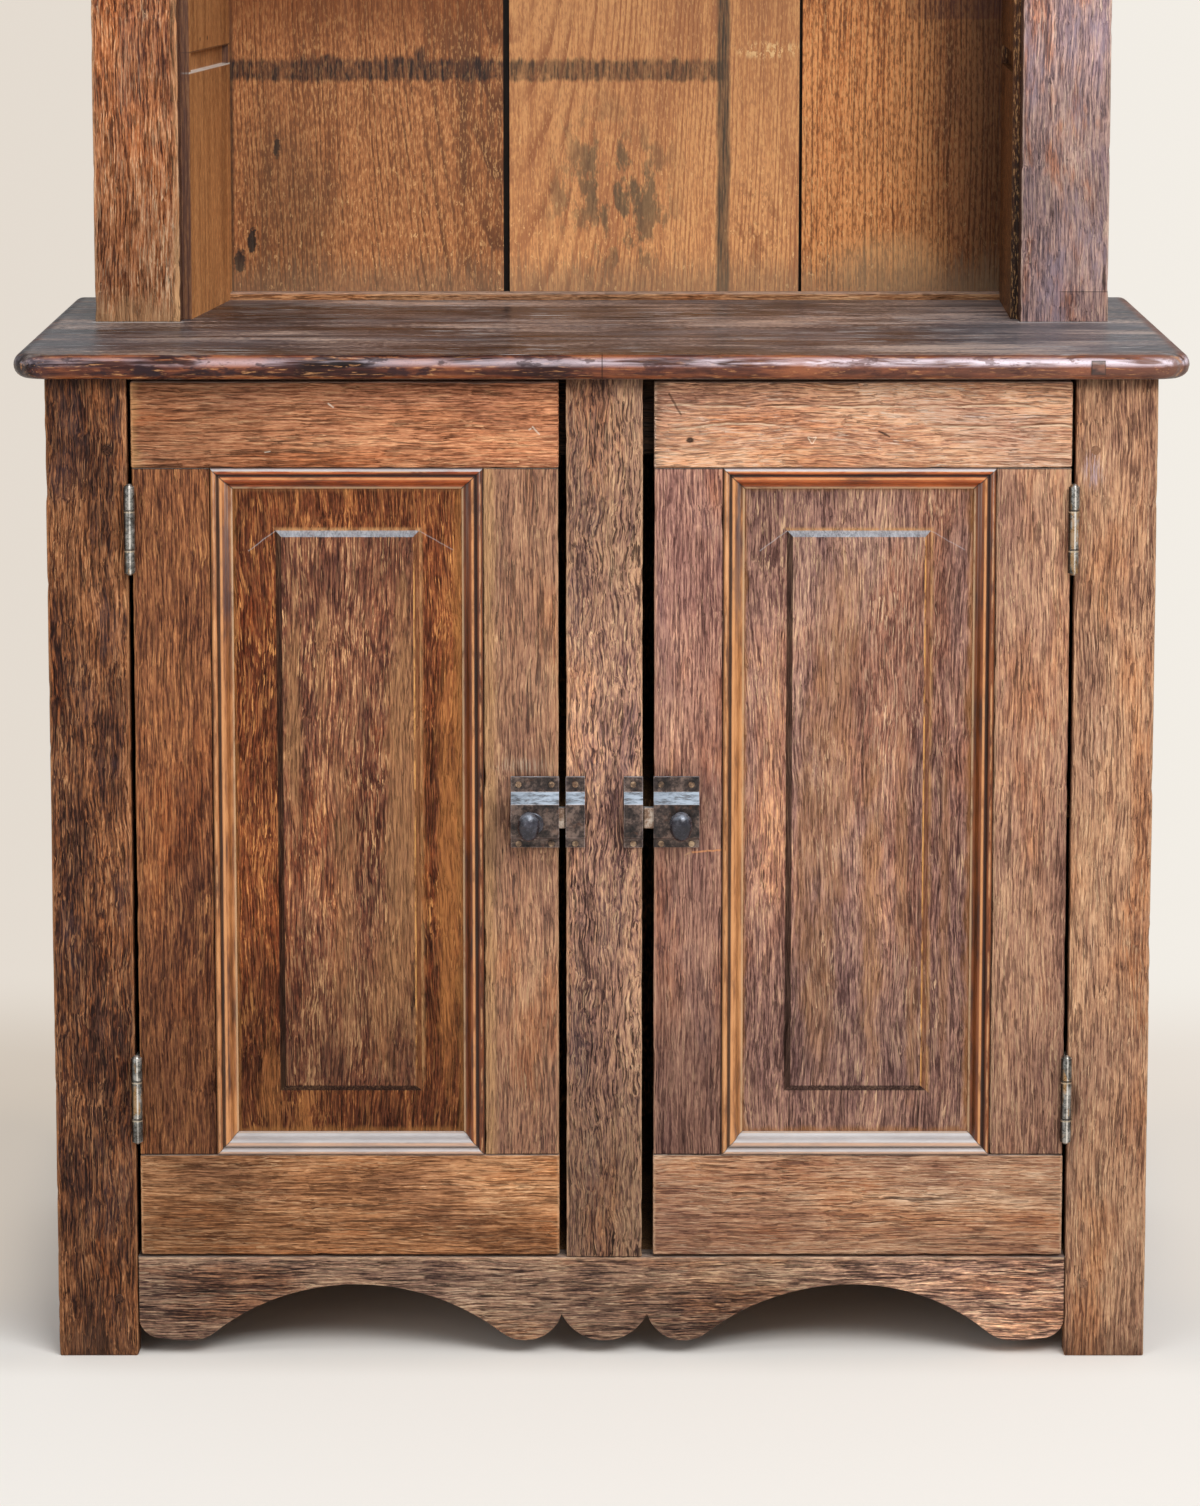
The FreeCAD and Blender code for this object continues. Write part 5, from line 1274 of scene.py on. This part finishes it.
# Painted shade: the front stretcher is nearly black, standing for the shade behind the door gaps.
stretcher_oak = old_oak(
    "stretcher_oak", "X", [(22, 16, 13), (36, 26, 20), (50, 36, 27), (66, 48, 35), (92, 68, 48)], 26.3,
    broad=0.6, bare=0.3
)
side_oak = old_oak(
    "side_board_oak", "Z", [(58, 36, 29), (90, 58, 44), (116, 76, 54), (140, 96, 68), (182, 134, 96)], 19.4,
    broad=0.6, bare=0.35, wave=0.01
)
upper_side_oak = old_oak(
    "hutch_side_oak", "Z", [(62, 40, 32), (96, 64, 48), (122, 82, 60), (146, 102, 74), (186, 140, 102)],
    20.8, broad=0.6, bare=0.3, wave=0.01
)
cornice_oak = old_oak(
    "cornice_oak", "X", [(60, 38, 30), (94, 62, 46), (120, 82, 58), (146, 102, 72), (186, 138, 98)], 21.5,
    broad=0.5, bare=0.3
)
cornice_side_oak = old_oak(
    "cornice_side_oak", "Y", [(60, 38, 30), (94, 62, 46), (120, 82, 58), (146, 102, 72), (186, 138, 98)],
    22.5, broad=0.5, bare=0.3
)
strip_oak = old_oak(
    "back_strip_wood", "X", [(92, 60, 40), (140, 94, 62), (170, 120, 82), (196, 146, 104), (224, 180, 138)],
    23.1, broad=0.4, bare=0.3
)
def peg_marks(f, colour, fibres, ragged):
    return f.mix(f.span(f.axes()[0], 0.39, 0.40, 0.0, 0.9), colour, tone(158, 116, 90))


peg_oak = old_oak(
    "peg_wood", "Y", [(34, 22, 18), (52, 33, 26), (68, 43, 32), (84, 54, 40), (108, 72, 52)], 24.7,
    marks=peg_marks
)


# ---- Metal finishes -------------------------------------------------------------------------------------
def worn_iron(name, deep, body, bright, rough, metal=0.5, rubbed=None, rust=0.25, marks=None, grit=0.35):
    """Blackened metal, faintly mottled and rusty, and rubbed bright with a painted highlight where it faces
    up.
    """
    f = Finish(name)
    mottled = f.noise(f.place, 420, 4.0, 0.65)
    patches = f.noise(f.mapped(f.place, shift=(2, 3, 1)), 80, 4.0, 0.65)
    value = f.span(f.plus(f.times(mottled, grit), f.times(patches, 1.0 - grit)), 0.34, 0.66)
    colour = f.ramp(value, [(0.0, tone(*deep)), (0.5, tone(*body)), (1.0, tone(*bright))])
    rusty = f.span(f.noise(f.mapped(f.place, shift=(7, 0, 4)), 150, 5.0, 0.75), 0.54, 0.68)
    colour = f.paint(colour, rusty, rust, tone(122, 76, 50))
    if marks:
        colour = marks(f, colour, patches)
    # Wear and a painted highlight where the metal faces up.
    if rubbed:
        scuffed = f.pattern(f.place, (0.25, 1, 1), (3, 0, 0), 300, 4.0, 0.7)
        up = f.times(f.facing_up(0.25, 0.55), f.span(scuffed, 0.3, 0.5, 0.5, 1.0))
        colour = f.mix(
            up, colour,
            f.mix(f.span(scuffed, 0.35, 0.6), tone(*[int(c * 0.55) for c in rubbed]), tone(*rubbed))
        )
    relief = f.bump(f.plus(mottled, patches), 0.0002, 0.5)
    return f.surface(colour, f.span(mottled, 0.3, 0.7, rough - 0.06, rough + 0.1), relief, metal)


def hinge_marks(f, colour, patches):
    """Brass-coloured wear, painted shade on the side that faces left, a painted highlight down the barrel,
    and dark lines where the knuckles meet, each with a pale line below.
    """
    brass = f.span(f.pattern(f.place, (1, 1, 0.4), (1, 0, 3), 110, 3.0, 0.6), 0.53, 0.6)
    colour = f.paint(colour, brass, 0.6, tone(178, 132, 72))
    # Painted shade on the side that faces left, and a painted highlight down the barrel.
    colour = f.mix(f.facing(0, -0.35, -0.85), colour, tone(34, 27, 23))
    crest = f.times(f.facing(0, -0.05, 0.12), f.facing(0, 0.42, 0.2))
    colour = f.paint(colour, crest, f.span(patches, 0.36, 0.5, 0.35, 0.9), tone(232, 226, 216))
    z = f.axes()[2]
    dark, light = [], []
    for edge in knuckle_heights:
        dark.append(f.span(f.apart(z, edge), 0.0005, 0.0009, 1.0, 0.0))
        light.append(f.span(f.apart(z, edge - 0.0015), 0.0004, 0.0009, 1.0, 0.0))
    colour = f.paint(colour, f.most(light), 0.6, tone(206, 186, 156))
    return f.paint(colour, f.most(dark), 0.9, tone(26, 18, 14))


HINGE_CENTRES = (0.2345, 0.7395)
MIDDLE_KNUCKLE_HALF = 0.0171
knuckle_heights = [centre + side * MIDDLE_KNUCKLE_HALF for centre in HINGE_CENTRES for side in (-1, 1)]
latch_iron = worn_iron(
    "latch_iron", (12, 10, 12), (66, 54, 50), (124, 104, 94), 0.36, 0.35, (158, 170, 184)
)
# Eased edges of the latches and keepers, worn bright and painted as highlights.
latch_rim_highlight = worn_iron(
    "latch_rim_highlight_iron", (120, 100, 96), (196, 172, 166), (240, 224, 220), 0.4, 0.15, (232, 224, 224)
)
knob_iron = worn_iron(
    "knob_iron", (40, 39, 45), (58, 57, 65), (84, 83, 93), 0.2, 0.35, (122, 128, 140), rust=0.1, grit=0.15
)
bolt_iron = worn_iron(
    "bolt_iron", (88, 60, 42), (146, 118, 98), (212, 196, 180), 0.4, 0.4, (190, 190, 190), rust=0.5
)
hinge_steel = worn_iron(
    "hinge_steel", (58, 54, 50), (114, 114, 110), (176, 172, 166), 0.3, 0.6, rust=0.2, marks=hinge_marks
)
# Eased edges of the hinge leaves, worn bright and painted as highlights.
hinge_rim_highlight = worn_iron(
    "hinge_rim_highlight_steel", (110, 100, 90), (168, 158, 144), (224, 214, 202), 0.3, 0.6, rust=0.1
)
screw_steel = worn_iron("screw_steel", (54, 42, 36), (140, 112, 88), (214, 184, 150), 0.36, 0.3, rust=0.45)


# ---- Base pieces ------------------------------------------------------------------------------------------
board(
    "worn_left_stile", "base_left_stile", CARCASS, "Z", left_stile_oak, ends=0.003, seed=1.0,
    dents=1.2
)
board(
    "worn_right_stile", "base_right_stile", CARCASS, "Z", right_stile_oak, ends=0.003, seed=2.0
)
board(
    "worn_centre_stile", "centre_stile", CARCASS, "Z", centre_oak, low=(None, None, 0.090),
    seed=3.0, dents=1.2
)
softened(
    "worn_apron", "apron", CARCASS, apron_oak, 0.0012,
    keep=lambda e: all(v.co.y < base_front + 0.002 for v in e.verts)
)
door_pieces = {
    LEFT_DOOR: (
        left_hinge_oak, left_latch_oak, left_top_oak, left_bottom_oak, left_panel_oak, left_moulding_wood,
        left_opening_z
    ),
    RIGHT_DOOR: (
        right_hinge_oak, right_latch_oak, right_top_oak, right_bottom_oak, right_panel_oak,
        right_moulding_wood, right_opening_z
    )
}
for step, (door, finishes) in enumerate(door_pieces.items()):
    hinge, latch, top, bottom, panel, moulding, (z0, z1) = finishes
    seed = 4.0 + 6 * step
    board(
        "worn_%s_hinge_stile" % door, door + "_hinge_stile", door, "Z", hinge, (None, None, z0),
        (None, None, z1), ends=0.0006, seed=seed
    )
    board(
        "worn_%s_latch_stile" % door, door + "_latch_stile", door, "Z", latch, (None, None, z0),
        (None, None, z1), ends=0.0006, seed=seed + 1
    )
    board("worn_%s_top_rail" % door, door + "_top_rail", door, "X", top, seed=seed + 2)
    board("worn_%s_bottom_rail" % door, door + "_bottom_rail", door, "X", bottom, seed=seed + 3)
    softened(
        "worn_%s_panel" % door, door + "_panel", door, panel, 0.0007, sharp=30.0,
        keep=lambda e: all(v.co.y < base_front + 0.0085 for v in e.verts)
    )
    softened(
        "worn_%s_moulding" % door, door + "_moulding", door, moulding, 0.0003, segments=1,
        sharp=40.0, smooth=30.0
    )


CORNER_RADIUS = 0.034
NOSING_RADIUS = 0.0104
NOSING_SLICES = 160


def make_counter():
    """The counter board, with rounded front corners, a bullnose and wear along its three free edges."""
    low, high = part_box("counter")
    bm = box_mesh(low, high)
    corners = [e for e in bm.edges if runs_along(e, 2) and e.verts[0].co.y < 0]
    bmesh.ops.bevel(
        bm, geom=corners, offset=CORNER_RADIUS, segments=14, profile=0.5, affect="EDGES", material=-1
    )
    rim = [e for e in bm.edges if not runs_along(e, 2) and not all(v.co.y > high.y - 1e-5 for v in e.verts)]
    bmesh.ops.bevel(
        bm, geom=rim, offset=NOSING_RADIUS, segments=6, profile=0.5, affect="EDGES", material=-1
    )
    cut_across(bm, 0, low.x, high.x, NOSING_SLICES)
    middle_z = (low.z + high.z) / 2
    for vert in bm.verts:
        if vert.co.y > high.y - 0.02:
            continue
        place = vert.co.copy()
        wander = 0.5 + 0.5 * noise.noise(place * 9)
        nick = max(0.0, noise.noise(place * 45 + Vector((3, 0, 0))) - 0.22) * 2.4
        chip = max(0.0, noise.noise(place * 130) - 0.3) * 1.5
        amount = 0.00035 + 0.0009 * (0.5 * wander + nick + chip)
        rolled = max(0.0, 1.0 - (vert.co.y - low.y) / 0.012)
        ended = max(0.0, 1.0 - (high.x - abs(vert.co.x)) / 0.014)
        vert.co.y += amount * rolled
        vert.co.x -= math.copysign(amount * ended, vert.co.x)
        vert.co.z -= math.copysign(amount * 0.6 * max(rolled, ended), vert.co.z - middle_z)
    settle(bm, "worn_counter", CARCASS, ["counter"], counter_finish())


make_counter()
board(
    "worn_hutch_left_stile", "hutch_left_stile", CARCASS, "Z", hutch_left_oak, seed=20.0,
    ends=0.0008, dents=1.4
)
board(
    "worn_hutch_right_stile", "hutch_right_stile", CARCASS, "Z", hutch_right_oak, seed=21.0,
    ends=0.0008, dents=1.2
)
board(
    "worn_hutch_top_rail", "hutch_top_rail", CARCASS, "X", hutch_rail_oak,
    low=(-0.383, None, None), high=(0.381, None, None), ends=0.0006, seed=22.0
)

for side, door in (("left", LEFT_DOOR), ("right", RIGHT_DOOR)):
    softened(
        "worn_%s_latch_case" % side, side + "_latch_case", door, latch_iron, 0.0011,
        extra=(latch_rim_highlight,), sharp=20.0, keep=lambda e: all(v.co.y < base_front - 0.0005 for v in e.verts)
    )
    softened(
        "worn_%s_latch_knob" % side, side + "_latch_knob", side + "_latch_knob", knob_iron,
        0.0002, sharp=60.0, smooth=45.0
    )
    softened(
        "worn_%s_latch_bolt" % side, side + "_latch_bolt", side + "_latch_bolt", bolt_iron,
        0.0004, sharp=60.0
    )
    softened(
        "worn_%s_door_leaves" % side, side + "_door_hinge_leaves", door, hinge_steel, 0.0003,
        extra=(hinge_rim_highlight,), sharp=60.0
    )
    dress(side + "_door_screws", screw_steel)
softened(
    "worn_latch_keepers", "latch_keepers", CARCASS, latch_iron, 0.0011, extra=(latch_rim_highlight,),
    sharp=20.0, keep=lambda e: all(v.co.y < base_front - 0.0005 for v in e.verts)
)
softened(
    "worn_frame_leaves", "hinge_frame_leaves", CARCASS, hinge_steel, 0.0003,
    extra=(hinge_rim_highlight,), sharp=60.0
)
softened(
    "worn_hinge_pins", "hinge_pins", CARCASS, hinge_steel, 0.0002, sharp=60.0, smooth=45.0
)

for name, material in (
    ("hutch_left_back_board", left_back_pine), ("hutch_centre_back_board", centre_back_pine),
    ("hutch_right_back_board", right_back_pine), ("hutch_left_lining", left_wall_pine),
    ("hutch_right_lining", shaded_right_wall_pine), ("hutch_lower_shelf", shelf_pine),
    ("hutch_upper_shelf", shelf_pine), ("back_strip", strip_oak), ("base_left_side", side_oak),
    ("base_right_side", side_oak), ("hutch_left_side", upper_side_oak),
    ("hutch_right_side", upper_side_oak), ("cornice_front", cornice_oak),
    ("cornice_left", cornice_side_oak), ("cornice_right", cornice_side_oak), ("top_board", cornice_oak),
    ("bottom_board", inner_pine), ("base_shelf", inner_pine), ("shelf_cleats", inner_pine),
    ("front_stretcher", stretcher_oak), ("back_stretcher", inner_pine), ("base_back_boards", inner_pine),
    ("frame_pegs", peg_oak), ("nosing_plug", plug_finish()), ("hinge_frame_screws", screw_steel),
    ("keeper_screws", screw_steel)
):
    dress(name, material)


# ---- Floor, backdrop, light and camera --------------------------------------------------------------------
def make_floor():
    """A wide pale floor that keeps the cupboard's shadow near it and is light ground further off, with
    painted shade near the cupboard and a painted fall of light, darker at the left.
    """
    bm = bmesh.new()
    bmesh.ops.create_grid(bm, x_segments=1, y_segments=1, size=150.0)
    mesh = bpy.data.meshes.new("studio_floor")
    bm.to_mesh(mesh)
    bm.free()
    f = Finish("studio_paper")
    x, y, _ = f.axes()
    away = f.math("SQRT", f.plus(f.times(x, x), f.times(y, y)))
    far = f.span(away, 0.85, 1.7)
    beside = f.times(f.span(f.math("ABSOLUTE", x), 0.46, 0.6, 0.0, 0.8), f.span(y, -0.24, 0.0))
    before = f.span(y, -0.3, -0.2, 0.5, 0.0)
    reach = f.plus(0.9, f.times(f.most([f.minus(y, 1.6), 0.0]), 0.14))
    mottle = f.noise(f.place, 2.2, 3.0, 0.5)
    uneven = f.times(f.minus(mottle, 0.5), f.span(away, 1.5, 4.0, 0.12, 0.0))
    # A painted fall of light across the ground: darker at the left, lighter at the right.
    level = f.plus(f.span(f.math("DIVIDE", x, reach), -1.0, 1.0), uneven)
    level = f.plus(f.times(f.minus(level, 0.5), f.span(away, 35.0, 90.0, 1.0, 0.0)), 0.5)
    ground = f.ramp(level, [(0.0, tone(228, 219, 208)), (0.5, tone(*PALE)), (1.0, tone(243, 238, 230))])
    # Painted shade on the ground near the cupboard.
    foot = f.ramp(
        level, [(0.0, tone(206, 194, 180)), (0.5, tone(219, 209, 197)), (1.0, tone(232, 223, 213))]
    )
    ground = f.mix(f.most([f.span(y, 0.72, 1.25), far]), foot, ground)
    ground = f.mix(f.span(y, -0.3, -0.2, 1.0, 0.0), ground, tone(246, 241, 234))
    paper = f.add("BsdfDiffuse")
    f.feed(paper.inputs["Color"], tone(246, 243, 238))
    glow = f.add("Emission")
    f.feed(glow.inputs["Color"], ground)
    share = f.times(seen_directly(f), f.most([f.span(y, 0.05, 0.75), far, beside, before]))
    f.feed(f.output.inputs[0], f.blend(share, paper.outputs[0], glow.outputs[0]))
    mesh.materials.append(f.material)
    floor = bpy.data.objects.new("studio_floor", mesh)
    scene.collection.objects.link(floor)


def seen_directly(f):
    """1 for what the camera sees, also in metal or through glass, and 0 for the light on the cupboard."""
    rays = f.add("LightPath").outputs
    return f.most([rays["Is Camera Ray"], rays["Is Glossy Ray"], rays["Is Transmission Ray"]])


PALE = (235, 228, 218)


def lamp(name, place, target, size, power, colour=(1, 1, 1)):
    light = bpy.data.lights.new(name, "AREA")
    light.shape = "RECTANGLE"
    light.size, light.size_y = size
    light.energy = power
    light.color = colour
    holder = bpy.data.objects.new(name, light)
    holder.location = place
    holder.rotation_euler = (Vector(target) - Vector(place)).to_track_quat("-Z", "Y").to_euler()
    scene.collection.objects.link(holder)


make_floor()
lamp("key_softbox", (1.3, -3.0, 3.1), (0.0, 0.0, 0.8), (2.6, 1.6), 104)
lamp("fill_softbox", (-2.6, -3.6, 1.7), (0.0, 0.0, 0.6), (2.4, 2.4), 22)
lamp("overhead_softbox", (0.2, -1.5, 3.5), (0.0, -0.15, 0.9), (2.6, 1.0), 18)


def make_air():
    """Even white light all round, with a pale ground behind it where the camera looks past the floor."""
    world = bpy.data.worlds.new("studio_air")
    world.use_nodes = True
    nodes_of = world.node_tree.nodes
    light = nodes_of["Background"]
    light.inputs["Color"].default_value = (1.0, 1.0, 1.0, 1.0)
    light.inputs["Strength"].default_value = 0.42
    ground = nodes_of.new("ShaderNodeBackground")
    ground.inputs["Color"].default_value = tone(*PALE)
    blend = nodes_of.new("ShaderNodeMixShader")
    link = world.node_tree.links.new
    link(nodes_of.new("ShaderNodeLightPath").outputs["Is Camera Ray"], blend.inputs[0])
    link(light.outputs[0], blend.inputs[1])
    link(ground.outputs[0], blend.inputs[2])
    link(blend.outputs[0], nodes_of["World Output"].inputs[0])
    scene.world = world


make_air()

camera_data = bpy.data.cameras.new("front_camera")
camera_data.lens = 117.40
camera_data.sensor_width = 36.0
camera_data.shift_y = -0.15
camera_data.clip_end = 400.0
camera = bpy.data.objects.new("front_camera", camera_data)
camera.location = (-0.0013, -4.4321, 1.339)
camera.rotation_euler = (math.radians(90 - 8.103), 0.0, 0.0)
scene.collection.objects.link(camera)
scene.camera = camera
scene.view_settings.view_transform = "Standard"
